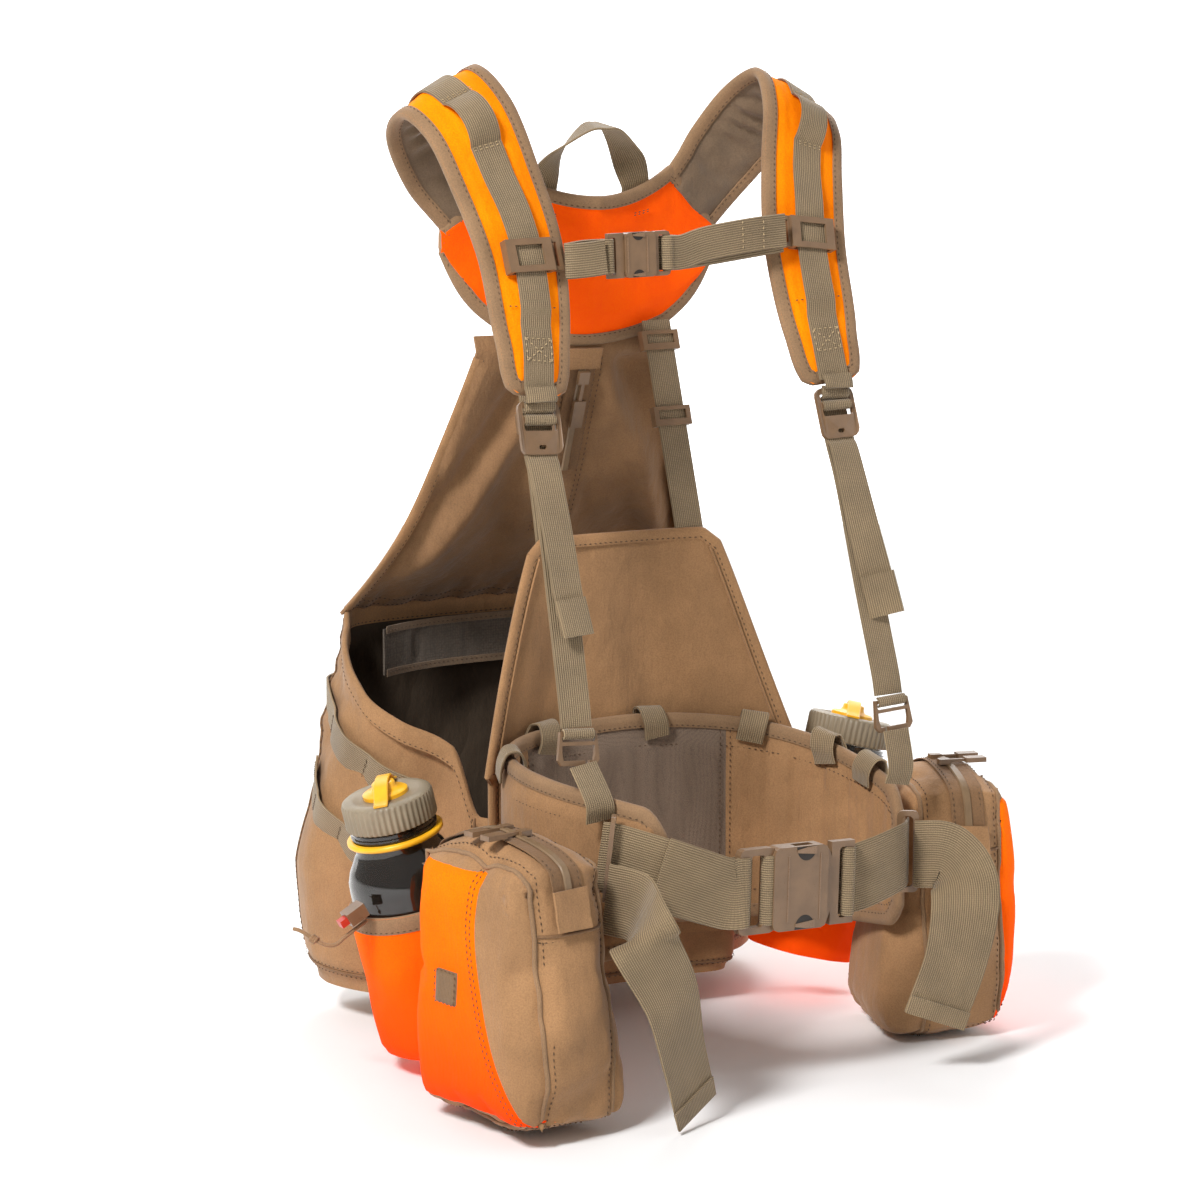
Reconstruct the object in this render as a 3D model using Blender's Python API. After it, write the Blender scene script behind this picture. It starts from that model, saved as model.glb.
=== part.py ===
"""Upland vest pack: a yoke harness on a buckled hip belt, with two hip pouches, two bottles and a game bag.

Metres, +Z up. The wearer faces -Y, so the wearer's right is -X. The origin is the hip belt's centre.
The pack is shown as it is worn, with its belt and sternum strap closed.
"""

import math

import bmesh
import bpy
from mathutils import Matrix, Vector
from mathutils.geometry import tessellate_polygon

# ---------------------------------------------------------------- driving sizes
GAP = 0.0005  # between pieces that touch
WEB = 0.0018  # webbing thickness
NARROW = 0.025  # harness webbing width
WIDE = 0.050  # waist webbing width
STRAP_PAD = 0.010  # padding thickness of yoke and shoulder straps
BELT_PAD = 0.011
CLOTH = 0.003  # thickness of a doubled fabric wall
BOTTLE_RADIUS = 0.042
BOTTLE_HEIGHT = 0.164  # foot to neck
CAP_RADIUS = 0.0335
CAP_HEIGHT = 0.021
BAG_FLOOR = -0.122
BAG_HEM = 0.164  # where the bag meets the upper back panel
DAISY_OUT = STRAP_PAD / 2 + WEB / 2 + 0.0035  # the daisy webbing's height off the middle of its strap
SIDES = {"right": -1, "left": 1}  # the wearer's

X, Y, Z = Vector((1, 0, 0)), Vector((0, 1, 0)), Vector((0, 0, 1))


def clear_scene():
    for obj in list(bpy.data.objects):
        bpy.data.objects.remove(obj)


def material(name, colour, roughness, metallic=0.0):
    made = bpy.data.materials.new(name)
    made.use_nodes = True
    shader = made.node_tree.nodes["Principled BSDF"]
    shader.inputs["Base Color"].default_value = (*colour, 1)
    shader.inputs["Roughness"].default_value = roughness
    shader.inputs["Metallic"].default_value = metallic
    return made


def make_materials():
    return {
        "tan_cloth": material("tan_cloth", (0.36, 0.22, 0.12), 0.85),
        "lining": material("lining", (0.25, 0.17, 0.10), 0.8),
        "orange_cloth": material("orange_cloth", (1.0, 0.22, 0.01), 0.7),
        "webbing": material("webbing", (0.33, 0.25, 0.15), 0.8),
        "plastic": material("plastic", (0.42, 0.27, 0.17), 0.35),
        "grey_band": material("grey_band", (0.14, 0.12, 0.10), 0.9),
        "bottle": material("bottle", (0.05, 0.05, 0.05), 0.1),
        "cap": material("cap", (0.32, 0.27, 0.19), 0.5),
        "yellow": material("yellow", (0.9, 0.5, 0.02), 0.4),
    }


# ---------------------------------------------------------------- building blocks
def add(name, mesh, mat, smooth=True):
    obj = bpy.data.objects.new(name, mesh)
    bpy.context.scene.collection.objects.link(obj)
    mesh.materials.append(mat)
    if smooth:
        mesh.shade_smooth()
        mesh.set_sharp_from_angle(angle=math.radians(35))
    return obj


def mesh_of(points, faces):
    """A mesh with every face turned outwards."""
    mesh = bpy.data.meshes.new("shape")
    mesh.from_pydata([tuple(p) for p in points], [], faces)
    work = bmesh.new()
    work.from_mesh(mesh)
    bmesh.ops.recalc_face_normals(work, faces=work.faces)
    work.to_mesh(mesh)
    work.free()
    return mesh


def spline(knots, steps):
    """Points read at even parameters from a Catmull-Rom curve through the knots. A knot is any vector."""
    last = len(knots) - 1
    found = []
    for i in range(steps + 1):
        at = min(i * last / steps, last - 1e-9)
        k = int(at)
        t = at - k
        a, b, c, d = (knots[max(0, min(last, j))] for j in (k - 1, k, k + 1, k + 2))
        if k == 0:
            a = 2 * b - c
        if k + 1 == last:
            d = 2 * c - b
        found.append(
            0.5 * (2 * b + (c - a) * t + (2 * a - 5 * b + 4 * c - d) * t**2 + (3 * b - a - 3 * c + d) * t**3)
        )
    return found


def ribbon(name, mat, stations, thickness, steps=20, lift=0.0):
    """A strap of rectangular section along a smooth path. A station is (centre, width direction, width).

    The strap stands on its path: lift moves it along its normal, which is the path's direction crossed with
    the width direction.
    """
    knots = [Vector((*p, *w, size)) for p, w, size in stations]
    rows = spline(knots, steps)
    centres = [Vector(r[:3]) for r in rows]
    rings = []
    for i, row in enumerate(rows):
        along = (centres[min(i + 1, steps)] - centres[max(i - 1, 0)]).normalized()
        across = Vector(row[3:6])
        across = (across - across.dot(along) * along).normalized()
        normal = along.cross(across)
        half = across * row[6] / 2
        for edge, side in ((1, 1), (-1, 1), (-1, -1), (1, -1)):
            rings.append(centres[i] + edge * half + normal * (lift + side * thickness / 2))
    faces = [(0, 1, 2, 3), tuple(4 * steps + j for j in (3, 2, 1, 0))]
    for i in range(steps):
        for j in range(4):
            k = (j + 1) % 4
            faces.append((4 * i + j, 4 * i + k, 4 * i + 4 + k, 4 * i + 4 + j))
    return add(name, mesh_of(rings, faces), mat)


def sheet(name, mat, surface, across, along, thickness):
    """A cloth wall: surface(u, v) for u from -1 to 1 and v from 0 to 1 is its middle."""
    grid = [
        [Vector(surface(-1 + 2 * i / across, j / along)) for i in range(across + 1)] for j in range(along + 1)
    ]
    points = []
    for side in (0.5, -0.5):
        for j in range(along + 1):
            for i in range(across + 1):
                du = grid[j][min(i + 1, across)] - grid[j][max(i - 1, 0)]
                dv = grid[min(j + 1, along)][i] - grid[max(j - 1, 0)][i]
                points.append(grid[j][i] + du.cross(dv).normalized() * thickness * side)
    width = across + 1
    back = width * (along + 1)
    faces = []
    for j in range(along):
        for i in range(across):
            a = j * width + i
            faces.append((a, a + 1, a + 1 + width, a + width))
            faces.append((back + a + width, back + a + 1 + width, back + a + 1, back + a))
    rim = [i for i in range(width)]
    rim += [j * width + across for j in range(1, along + 1)]
    rim += [along * width + i for i in range(across - 1, -1, -1)]
    rim += [j * width for j in range(along - 1, 0, -1)]
    for a, b in zip(rim, rim[1:] + rim[:1]):
        faces.append((a, back + a, back + b, b))
    return add(name, mesh_of(points, faces), mat)


def rounded(width, height, radius, centre=(0, 0), corner_steps=3):
    """Corners of a rectangle with round corners, anticlockwise."""
    found = []
    for sx, sy, start in ((1, 1, 0), (-1, 1, 90), (-1, -1, 180), (1, -1, 270)):
        for i in range(corner_steps + 1):
            angle = math.radians(start + 90 * i / corner_steps)
            found.append(
                Vector(
                    (
                        centre[0] + sx * (width / 2 - radius) + radius * math.cos(angle),
                        centre[1] + sy * (height / 2 - radius) + radius * math.sin(angle),
                        0,
                    )
                )
            )
    return found


def plate_mesh(outline, holes, thickness, bend=None):
    """A flat plate in XY with holes, centred on Z = 0. bend(p) may move each of its points."""
    loops = [outline] + holes
    flat = [p for loop in loops for p in loop]
    count = len(flat)
    points = [p + Z * thickness / 2 for p in flat] + [p - Z * thickness / 2 for p in flat]
    if bend:
        points = [bend(p) for p in points]
    faces = []
    for tri in tessellate_polygon(loops):
        faces.append(tuple(tri))
        faces.append(tuple(count + i for i in reversed(tri)))
    start = 0
    for loop in loops:
        for i in range(len(loop)):
            a, b = start + i, start + (i + 1) % len(loop)
            faces.append((a, b, count + b, count + a))
        start += len(loop)
    return mesh_of(points, faces)


def plate(name, mat, outline, holes, thickness, place, bend=None):
    obj = add(name, plate_mesh(outline, holes, thickness, bend), mat)
    obj.matrix_world = place
    return obj


def frame_at(origin, along, across):
    """A matrix whose local X runs along, Y across and Z out of the face."""
    along = Vector(along).normalized()
    across = Vector(across)
    across = (across - across.dot(along) * along).normalized()
    out = along.cross(across)
    return Matrix.Translation(Vector(origin)) @ Matrix((along, across, out)).transposed().to_4x4()


def lathe(name, mat, profile, axis_place, steps=24):
    """A turned solid. The profile is (radius, height) from the bottom's axis point round to the top's."""
    points, rows = [], []
    for radius, height in profile:
        if radius < 1e-6:
            rows.append([len(points)])
            points.append(Vector((0, 0, height)))
            continue
        rows.append(list(range(len(points), len(points) + steps)))
        for i in range(steps):
            angle = 2 * math.pi * i / steps
            points.append(Vector((radius * math.cos(angle), radius * math.sin(angle), height)))
    faces = []
    for low, high in zip(rows, rows[1:]):
        for i in range(steps):
            k = (i + 1) % steps
            if len(low) == 1:
                faces.append((low[0], high[k], high[i]))
            elif len(high) == 1:
                faces.append((low[i], low[k], high[0]))
            else:
                faces.append((low[i], low[k], high[k], high[i]))
    obj = add(name, mesh_of(points, faces), mat)
    obj.matrix_world = axis_place
    return obj


def box_mesh(size, centre=(0, 0, 0)):
    work = bmesh.new()
    bmesh.ops.create_cube(work, size=1)
    bmesh.ops.scale(work, vec=Vector(size), verts=work.verts)
    bmesh.ops.translate(work, vec=Vector(centre), verts=work.verts)
    mesh = bpy.data.meshes.new("box")
    work.to_mesh(mesh)
    work.free()
    return mesh


def combine(obj, operation, mesh):
    """Adds a Boolean with a hidden helper that stands in obj's own place."""
    helper = bpy.data.objects.new(obj.name + "_tool", mesh)
    bpy.context.scene.collection.objects.link(helper)
    helper.hide_render = True
    helper.display_type = "WIRE"
    helper.matrix_world = obj.matrix_world.copy()
    modifier = obj.modifiers.new(operation.lower(), "BOOLEAN")
    modifier.operation = operation
    modifier.object = helper
    return obj


# ---------------------------------------------------------------- where the harness runs
def harness_path(side):
    """Stations of a padded shoulder strap, from its seam with the yoke to its front tip."""
    inward = -side
    return [
        ((side * 0.0992, 0.1575, 0.4827), (inward * 0.69, -0.16, 0.70), 0.0630),
        ((side * 0.1210, 0.1560, 0.5090), (inward * 0.74, -0.08, 0.62), 0.0680),
        ((side * 0.1430, 0.1380, 0.5420), (inward * 0.84, 0.00, 0.53), 0.0710),
        ((side * 0.1490, 0.1020, 0.5570), (inward * 0.88, 0.00, 0.48), 0.0720),
        ((side * 0.1410, 0.0730, 0.5370), (inward * 0.92, 0.00, 0.36), 0.0710),
        ((side * 0.1305, 0.0560, 0.4980), (inward * 0.97, 0.00, 0.16), 0.0700),
        ((side * 0.1205, 0.0360, 0.4450), (inward * 1.00, 0.02, 0.02), 0.0680),
        ((side * 0.1215, 0.0170, 0.3850), (inward * 1.00, 0.06, -0.04), 0.0600),
        ((side * 0.1250, 0.0055, 0.3460), (inward * 1.00, 0.08, -0.04), 0.0370),
    ]


SEAM_SHARE = 0.7  # of the yoke's half width, where its neckline ends and a shoulder seam starts


def make_yoke(mats):
    """A padded yoke: its neckline dips, and each shoulder seam slopes out to the widest place."""

    def surface(u, v):
        away = abs(u)
        if away < SEAM_SHARE:
            share = away / SEAM_SHARE
            top = Vector((0.074 * share, 0, 0.480 + 0.0230 * share**2))
            low = Vector((0.073 * share, 0, 0.369 + 0.014 * share**2))
        else:
            share = (away - SEAM_SHARE) / (1 - SEAM_SHARE)
            top = Vector((0.074, 0, 0.503)).lerp(Vector((0.1195, 0, 0.4570)), share)
            low = Vector((0.073, 0, 0.383)).lerp(Vector((0.1195, 0, 0.4400)), share)
            low += Vector((0.004, 0, -0.006)) * math.sin(math.pi * share)
        p = low.lerp(top, v)
        y = 0.158 - 0.026 * v * (1 - away**0.9) + 0.004 * away**2
        return math.copysign(p.x, u), y, p.z

    return sheet("yoke_pad", mats["orange_cloth"], surface, 20, 8, STRAP_PAD)


def make_handle(mats):
    """A webbing grab loop on the yoke's back face; its top bows forward over the neckline."""
    half = [
        ((0.0400, 0.1478, 0.4900), (1.00, 0.10, -0.20), NARROW),
        ((0.0330, 0.1460, 0.5120), (0.80, -0.50, -0.30), NARROW),
        ((0.0180, 0.1360, 0.5290), (0.30, -0.92, -0.20), NARROW),
        ((0.0000, 0.1320, 0.5330), (0.00, -0.97, -0.20), NARROW),
    ]
    other = [((-p[0], p[1], p[2]), (-w[0], w[1], w[2]), size) for p, w, size in half[-2::-1]]
    return ribbon("grab_handle", mats["webbing"], half + other, WEB, 24)


def make_harness_side(name, side, mats):
    path = harness_path(side)
    ribbon(f"shoulder_strap_{name}", mats["orange_cloth"], path, STRAP_PAD, 26)
    daisy = [(p, w, NARROW) for p, w, _ in path[2:-1]]
    ribbon(f"daisy_webbing_{name}", mats["webbing"], daisy, WEB, 18, lift=-side * DAISY_OUT)


def strap_frame(side, at, out=0.0):
    """A frame on the front of a strap: local X runs down the strap and Y towards the wearer's middle."""
    path = harness_path(side)
    rows = spline([Vector((*p, *w, size)) for p, w, size in path], 80)
    k = round(80 * at)
    along = Vector(rows[min(k + 1, 80)][:3]) - Vector(rows[max(k - 1, 0)][:3])
    place = frame_at(rows[k][:3], along, Vector(rows[k][3:6]))
    return place @ Matrix.Translation(Z * (-side * out))


SLIDER_AT = {"right": 0.768, "left": 0.742}  # share of the strap's path


def make_sternum_slider(name, side, mats):
    """A sleeve round the daisy webbing, with a window in its face and a bar for the sternum webbing."""
    length, tunnel, play, through = 0.024, 0.0042, 0.0045, 0.060
    body = add(f"sternum_slider_{name}", box_mesh((length, 0.037, 0.0078)), mats["plastic"], smooth=False)
    body.matrix_world = strap_frame(side, SLIDER_AT[name], DAISY_OUT)
    combine(body, "DIFFERENCE", box_mesh((through, NARROW + play, tunnel)))
    window = box_mesh((0.015, 0.022, 0.020), (0, 0, -side * 0.0111))
    combine(body, "DIFFERENCE", window)
    combine(body, "UNION", box_mesh((length, 0.009, 0.0030), (0, 0.0220, 0)))
    combine(body, "DIFFERENCE", box_mesh((0.0178, 0.0030, 0.020), (0, 0.0222, 0)))


def make_ladder_lock(name, side, mats):
    """A three-bar buckle that hangs from the strap's front tip; its lower lip tilts forward."""
    tip = Vector((side * 0.1255, -0.0015, 0.3235))
    place = frame_at(tip, (side * 0.004, -0.034, -0.094), (1, 0, 0))

    def bend(p):
        drop = max(0.0, p.x - 0.010)
        return Vector((p.x, p.y, p.z - 0.30 * drop))

    holes = [
        rounded(0.0070, 0.0265, 0.0012, (-0.0110, 0), 1)[::-1],
        rounded(0.0060, 0.0265, 0.0012, (-0.0005, 0), 1)[::-1],
        rounded(0.0030, 0.0060, 0.0014, (0.0140, 0), 2)[::-1],
    ]
    return plate(
        f"ladder_lock_{name}", mats["plastic"], rounded(0.038, 0.033, 0.006), holes, 0.0032, place, bend
    )


def adjuster_path(side):
    """The webbing from the ladder lock down to the belt hook."""
    return [
        (side * 0.1256, -0.0080, 0.3030),
        (side * 0.1262, -0.0180, 0.2700),
        (side * 0.1285, -0.0400, 0.1980),
        (side * 0.1310, -0.0580, 0.1400),
        (side * 0.1316, -0.0628, 0.1205),
    ]


def make_adjuster(name, side, mats):
    stations = [(p, X, NARROW) for p in adjuster_path(side)]
    ribbon(f"adjuster_webbing_{name}", mats["webbing"], stations, WEB, 14)


HOOK_TOP = (0.1320, -0.0655, 0.1145)
HOOK_DOWN = (0.006, -0.014, -0.094)


def make_hook(name, side, mats):
    """A G-shaped hook: a slot for the webbing above, and an open jaw below that catches the belt's loop."""
    top = (side * HOOK_TOP[0], *HOOK_TOP[1:])
    down = (side * HOOK_DOWN[0], *HOOK_DOWN[1:])
    place = frame_at(top, down, (side, 0, 0))
    outline = [
        (-0.0035, -0.0145), (0.0160, -0.0165), (0.0200, -0.0135), (0.0200, -0.0085), (0.0165, -0.0085),
        (0.0165, -0.0120), (0.0120, -0.0130), (0.0060, -0.0130), (0.0060, 0.0130), (0.0120, 0.0130),
        (0.0165, 0.0120), (0.0165, -0.0050), (0.0200, -0.0050), (0.0200, 0.0135), (0.0160, 0.0165), (
            -0.0035, 0.0145
        ),
    ]
    slot = rounded(0.0045, 0.0262, 0.0010, (0.0012, 0), 1)[::-1]
    return plate(f"g_hook_{name}", mats["plastic"], [Vector((*p, 0)) for p in outline], [slot], 0.0030, place)


def make_hook_loop(name, side, mats):
    """The belt's webbing loop that the hook catches."""
    foot = (side * 0.1330, -0.0780, 0.0700) if side > 0 else (side * 0.1275, -0.0875, 0.0722)
    middle = [(side * 0.1318, -0.0728, 0.0960), (side * 0.1320, -0.0752, 0.0860), foot]
    stations = [(p, X, NARROW * 0.9) for p in middle]
    return ribbon(f"hook_loop_{name}", mats["webbing"], stations, WEB, 5)


# ---------------------------------------------------------------- sternum strap
STERNUM_BUCKLE = Vector((-0.0470, 0.0185, 0.4415))  # the socket's mouth


def plug_outline(half, prong, reach, base):
    """Half widths of a side-release plug's body and its prongs; it points along +X from a base at -base."""
    arm = half * 0.52
    upper = [
        (-base, half), (0, half), (0, half * 0.66), (base * 0.07, prong), (reach * 0.45, prong), (
            reach, prong * 0.80
        ),
        (reach, arm), (base * 0.10, arm), (base * 0.10, half * 0.14), (reach, half * 0.14),
    ]
    lower = [(x, -y) for x, y in upper[::-1]]
    return [Vector((x, y, 0)) for x, y in upper + lower]


def make_sternum(mats):
    """The plug is on the wearer's right, and the adjustable socket on the left."""
    place = frame_at(STERNUM_BUCKLE, (1, 0, 0.035), Z)
    outline = rounded(0.0250, 0.0320, 0.003, (0.0130, 0), 2)
    socket = plate("sternum_buckle_socket", mats["plastic"], outline, [], 0.0085, place)
    combine(socket, "DIFFERENCE", box_mesh((0.0400, 0.0262, 0.0048), (0.0015, 0, 0)))
    for s in (1, -1):
        combine(socket, "DIFFERENCE", box_mesh((0.0100, 0.0100, 0.0048), (0.0125, s * 0.0155, 0)))
    tail_slot = rounded(0.0070, 0.0262, 0.001, (0.0320, 0), 1)[::-1]
    tail = plate_mesh(rounded(0.0150, 0.0320, 0.003, (0.0310, 0), 2), [tail_slot], 0.0050)
    combine(socket, "UNION", tail)

    slot = rounded(0.0040, 0.0262, 0.0010, (-0.0085, 0), 1)[::-1]
    outline = plug_outline(0.0160, 0.0124, 0.0175, 0.0130)
    plate("sternum_buckle_plug", mats["plastic"], outline, [slot], 0.0038, place)

    upright = place.to_3x3() @ Y
    behind = 0.0019 + WEB / 2 + GAP
    right = [(-0.0922, 0.0203, 0.4385)] + [
        place @ Vector((x, 0, -behind)) for x in (-0.0300, -0.0180, -0.0075)
    ]
    ribbon("sternum_webbing_right", mats["webbing"], [(p, upright, NARROW) for p in right], WEB, 8)
    behind = 0.0025 + WEB / 2 + GAP
    left = [place @ Vector((x, 0, -behind)) for x in (0.0300, 0.0420, 0.0600)] + [(0.0915, 0.0235, 0.4535)]
    ribbon("sternum_webbing_left", mats["webbing"], [(p, upright, NARROW) for p in left], WEB, 10)


# ---------------------------------------------------------------- back panel and torso straps
def bib_y(x):
    return 0.104 - 0.042 * (abs(x) / 0.136) ** 2.8


def make_bib(mats):
    def surface(u, v):
        z = -0.085 + 0.315 * v
        half = 0.130 if z < 0.06 else 0.136 - 0.053 * (z - 0.06) / 0.17
        x = u * half
        top_round = 0.010 * max(0.0, abs(u) - 0.85) / 0.15 * v**8
        return x, bib_y(x), z - top_round

    return sheet("back_bib", mats["tan_cloth"], surface, 14, 12, CLOTH)


TORSO_TOP = Vector((0.0570, 0.1455, 0.3860))
TORSO_LOW = Vector((0.0605, 0.1020, 0.2325))


def make_torso_strap(name, side, mats):
    top = Vector((side * TORSO_TOP.x, TORSO_TOP.y, TORSO_TOP.z))
    low = Vector((side * TORSO_LOW.x, TORSO_LOW.y, TORSO_LOW.z))
    stations = [(p, X, NARROW) for p in (top, (top + low) / 2, low)]
    ribbon(f"torso_strap_{name}", mats["webbing"], stations, WEB, 6)
    down = low - top
    for label, share in (("upper", 0.10), ("lower", 0.47)):
        place = frame_at(top + down * share, down, (1, 0, 0))
        body = add(
            f"torso_adjuster_{label}_{name}", box_mesh((0.015, 0.032, 0.0064)), mats["plastic"], smooth=False
        )
        body.matrix_world = place
        combine(body, "DIFFERENCE", box_mesh((0.05, 0.0262, 0.0032)))
        combine(body, "DIFFERENCE", box_mesh((0.0070, 0.0240, 0.010), (-0.0010, 0, 0.0063)))


# ---------------------------------------------------------------- hip belt
BELT_MIDDLE = (0, 0.092)
BELT_LEFT = [(0.055, 0.088), (0.100, 0.072), (0.128, 0.042), (0.142, 0.005), (0.145, -0.037), (0.140, -0.070)]
BELT_RIGHT = [
    (-0.055, 0.088),
    (-0.100, 0.072),
    (-0.128, 0.042),
    (-0.138, 0.005),
    (-0.134, -0.035),
    (-0.119, -0.072),
    (-0.102, -0.094),
    (-0.085, -0.107),
]
BELT_STEPS = 48


def belt_path():
    """The pad's middle from the wearer's right end, round the back, to the left end."""
    knots = [Vector((*p, 0)) for p in BELT_RIGHT[::-1] + [BELT_MIDDLE] + BELT_LEFT]
    return spline(knots, BELT_STEPS)


def belt_edges(share):
    """The pad's lowest and highest z at a share of its path from the wearer's right end to the left one."""
    centre = len(BELT_RIGHT) / (len(BELT_RIGHT) + len(BELT_LEFT))
    if share < centre:
        away = (centre - share) / centre
        low, high = -0.072 + 0.050 * away**2.2, 0.092 - 0.030 * away**1.5
    else:
        away = (share - centre) / (1 - centre)
        low, high = -0.072 + 0.020 * away**2.2, 0.092 - 0.048 * away**1.5
    tip = max(0.0, away - 0.90) / 0.10
    return low + 0.014 * tip**2, high - 0.016 * tip**2


def make_belt_pad(mats):
    path = belt_path()

    def surface(u, v):
        share = (u + 1) / 2
        low, high = belt_edges(share)
        p = path[round(share * BELT_STEPS)]
        return p.x, p.y, low + (high - low) * v

    return sheet("lumbar_pad", mats["tan_cloth"], surface, 24, 6, BELT_PAD)


def make_waist_buckle(mats, place):
    """A socket with a slotted tail plate, and a plug with two arms and a middle tongue."""
    outline = rounded(0.046, 0.060, 0.005, (0.002, 0), 2)
    socket = plate("waist_buckle_socket", mats["plastic"], outline, [], 0.0130, place)
    combine(socket, "DIFFERENCE", box_mesh((0.040, 0.0520, 0.0070), (0.0115, 0, 0)))
    for s in (1, -1):
        combine(socket, "DIFFERENCE", box_mesh((0.016, 0.018, 0.0070), (0.006, s * 0.0290, 0)))
    tail_slot = rounded(0.0120, 0.0515, 0.002, (-0.0330, 0), 1)[::-1]
    tail = plate_mesh(rounded(0.0300, 0.0610, 0.004, (-0.0330, 0), 2), [tail_slot], 0.0070)
    combine(socket, "UNION", tail)

    upper = [
        (0.0500, 0.0300),
        (0.0300, 0.0300),
        (0.0300, 0.0200),
        (0.0280, 0.0250),
        (0.0050, 0.0250),
        (-0.0020, 0.0200),
        (-0.0020, 0.0170),
        (0.0240, 0.0170),
        (0.0240, 0.0040),
        (0.0000, 0.0040),
    ]
    lower = [(x, -y) for x, y in upper[::-1]]
    slot = rounded(0.0080, 0.0515, 0.002, (0.0410, 0), 1)[::-1]
    outline = [Vector((*p, 0)) for p in upper + lower]
    plate("waist_buckle_plug", mats["plastic"], outline, [slot], 0.0060, place)


def make_waist_webbing(mats, place):
    """The webbing lies behind the buckle and runs to the keeper on each end of the belt."""
    upright = place.to_3x3() @ Y
    right = [
        ((-0.1215, -0.0990, 0.0330), (0, 0, 1), WIDE),
        ((-0.0920, -0.1150, 0.0220), (0, 0.10, 1), WIDE),
        ((-0.0700, -0.1170, 0.0130), (0, 0.05, 1), WIDE),
        (place @ Vector((-0.0560, 0, -0.0049)), upright, WIDE),
        (place @ Vector((-0.0440, 0, -0.0049)), upright, WIDE),
        (place @ Vector((-0.0330, 0, -0.0049)), upright, WIDE),
    ]
    ribbon("waist_webbing_right", mats["webbing"], right, WEB, 12)
    left = [
        (place @ Vector((0.0405, 0, -0.0049)), upright, WIDE),
        (place @ Vector((0.0560, 0, -0.0052)), upright, WIDE),
        ((0.0900, -0.1110, 0.0040), (0, 0, 1), WIDE),
        ((0.1180, -0.1020, 0.0080), (0, 0, 1), WIDE),
        ((0.1330, -0.0860, 0.0060), (0, 0, 1), WIDE),
    ]
    ribbon("waist_webbing_left", mats["webbing"], left, WEB, 12)


def make_keepers(mats):
    """A slotted plate at each end of the belt, which the waist webbing runs through."""
    hole = rounded(0.0080, 0.0530, 0.002, (0, 0), 1)[::-1]
    turn = Matrix.Rotation(math.radians(90), 4, "Y")
    for name, spot, along in (
        ("right", (-0.1250, -0.0975, 0.0340), (-0.75, 0.50, 0.1)),
        ("left", (0.1375, -0.0815, 0.0060), (0.55, 0.83, 0.0)),
    ):
        place = frame_at(spot, along, Z) @ turn
        plate(f"belt_keeper_{name}", mats["plastic"], rounded(0.0160, 0.0610, 0.004), [hole], 0.0032, place)


def make_tails(mats):
    """The webbing left over beyond each keeper, which hangs down."""
    tail_right = [
        ((-0.1320, -0.1050, 0.0080), (0.05, -0.05, 1.00), WIDE),
        ((-0.1205, -0.1310, 0.0040), (0.20, -0.10, 0.96), WIDE),
        ((-0.1330, -0.1600, -0.0120), (0.74, 0.03, 0.66), WIDE),
        ((-0.1140, -0.1620, -0.0500), (0.86, 0.20, 0.40), WIDE),
        ((-0.1000, -0.1560, -0.0950), (0.89, 0.40, 0.25), WIDE),
        ((-0.0860, -0.1500, -0.1380), (0.89, 0.40, 0.22), WIDE * 0.96),
    ]
    ribbon("waist_tail_right", mats["webbing"], tail_right, WEB, 16)
    tail_left = [
        ((0.1390, -0.0880, 0.0050), (0.00, 0.0, 1.0), WIDE),
        ((0.1560, -0.1070, 0.0040), (0.20, 0.10, 0.97), WIDE),
        ((0.1560, -0.1280, -0.0150), (0.75, -0.30, 0.55), WIDE),
        ((0.1440, -0.1360, -0.0600), (0.94, -0.22, -0.12), WIDE),
        ((0.1260, -0.1330, -0.1080), (0.90, -0.20, -0.36), WIDE),
    ]
    ribbon("waist_tail_left", mats["webbing"], tail_left, WEB, 16)


# ---------------------------------------------------------------- hip pouches
POUCH = {
    # centre, turn to the front in degrees, front-to-back width, depth, height, lean in at the foot
    "right": (Vector((-0.1875, -0.0760, -0.0450)), 10, 0.150, 0.082, 0.194, 0.0),
    "left": (Vector((0.2120, -0.0170, -0.0470)), 16, 0.126, 0.086, 0.198, 0.014),
}


def pouch_frame(name):
    """Local X runs to the pouch's front edge, Y out from the wearer and Z up."""
    side = SIDES[name]
    centre, turn = POUCH[name][:2]
    angle = math.radians(turn)
    out = Vector((side * math.cos(angle), -math.sin(angle), 0))
    front = Vector((-side * math.sin(angle), -math.cos(angle), 0))
    return Matrix.Translation(centre) @ Matrix((front, out, Z)).transposed().to_4x4()


def pouch_point(name, p):
    """Maps a point of the cube from -1 to 1 to the stuffed pouch's skin, in its own frame."""
    width, depth, height, lean = POUCH[name][2:]
    round_off = 0.36
    length = (p.x**4 + p.y**4 + p.z**4) ** 0.25
    q = p * (1 - round_off) + p / length * round_off
    spread = 0.95 - 0.06 * q.z
    inward = lean * ((1 - q.z) / 2) ** 1.5
    return Vector(
        (q.x * width / 2 * spread, q.y * depth / 2 * (1.02 - 0.12 * q.z) - inward, q.z * height / 2)
    )


def make_pouch(name, mats):
    work = bmesh.new()
    bmesh.ops.create_cube(work, size=2)
    bmesh.ops.subdivide_edges(work, edges=work.edges, cuts=6, use_grid_fill=True)
    for vert in work.verts:
        vert.co = pouch_point(name, vert.co)
    mesh = bpy.data.meshes.new("pouch")
    work.to_mesh(mesh)
    work.free()
    if pouch_frame(name).to_3x3().determinant() < 0:
        mesh.flip_normals()
    mesh.transform(pouch_frame(name))
    add(f"hip_pouch_{name}", mesh, mats["tan_cloth"])


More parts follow.
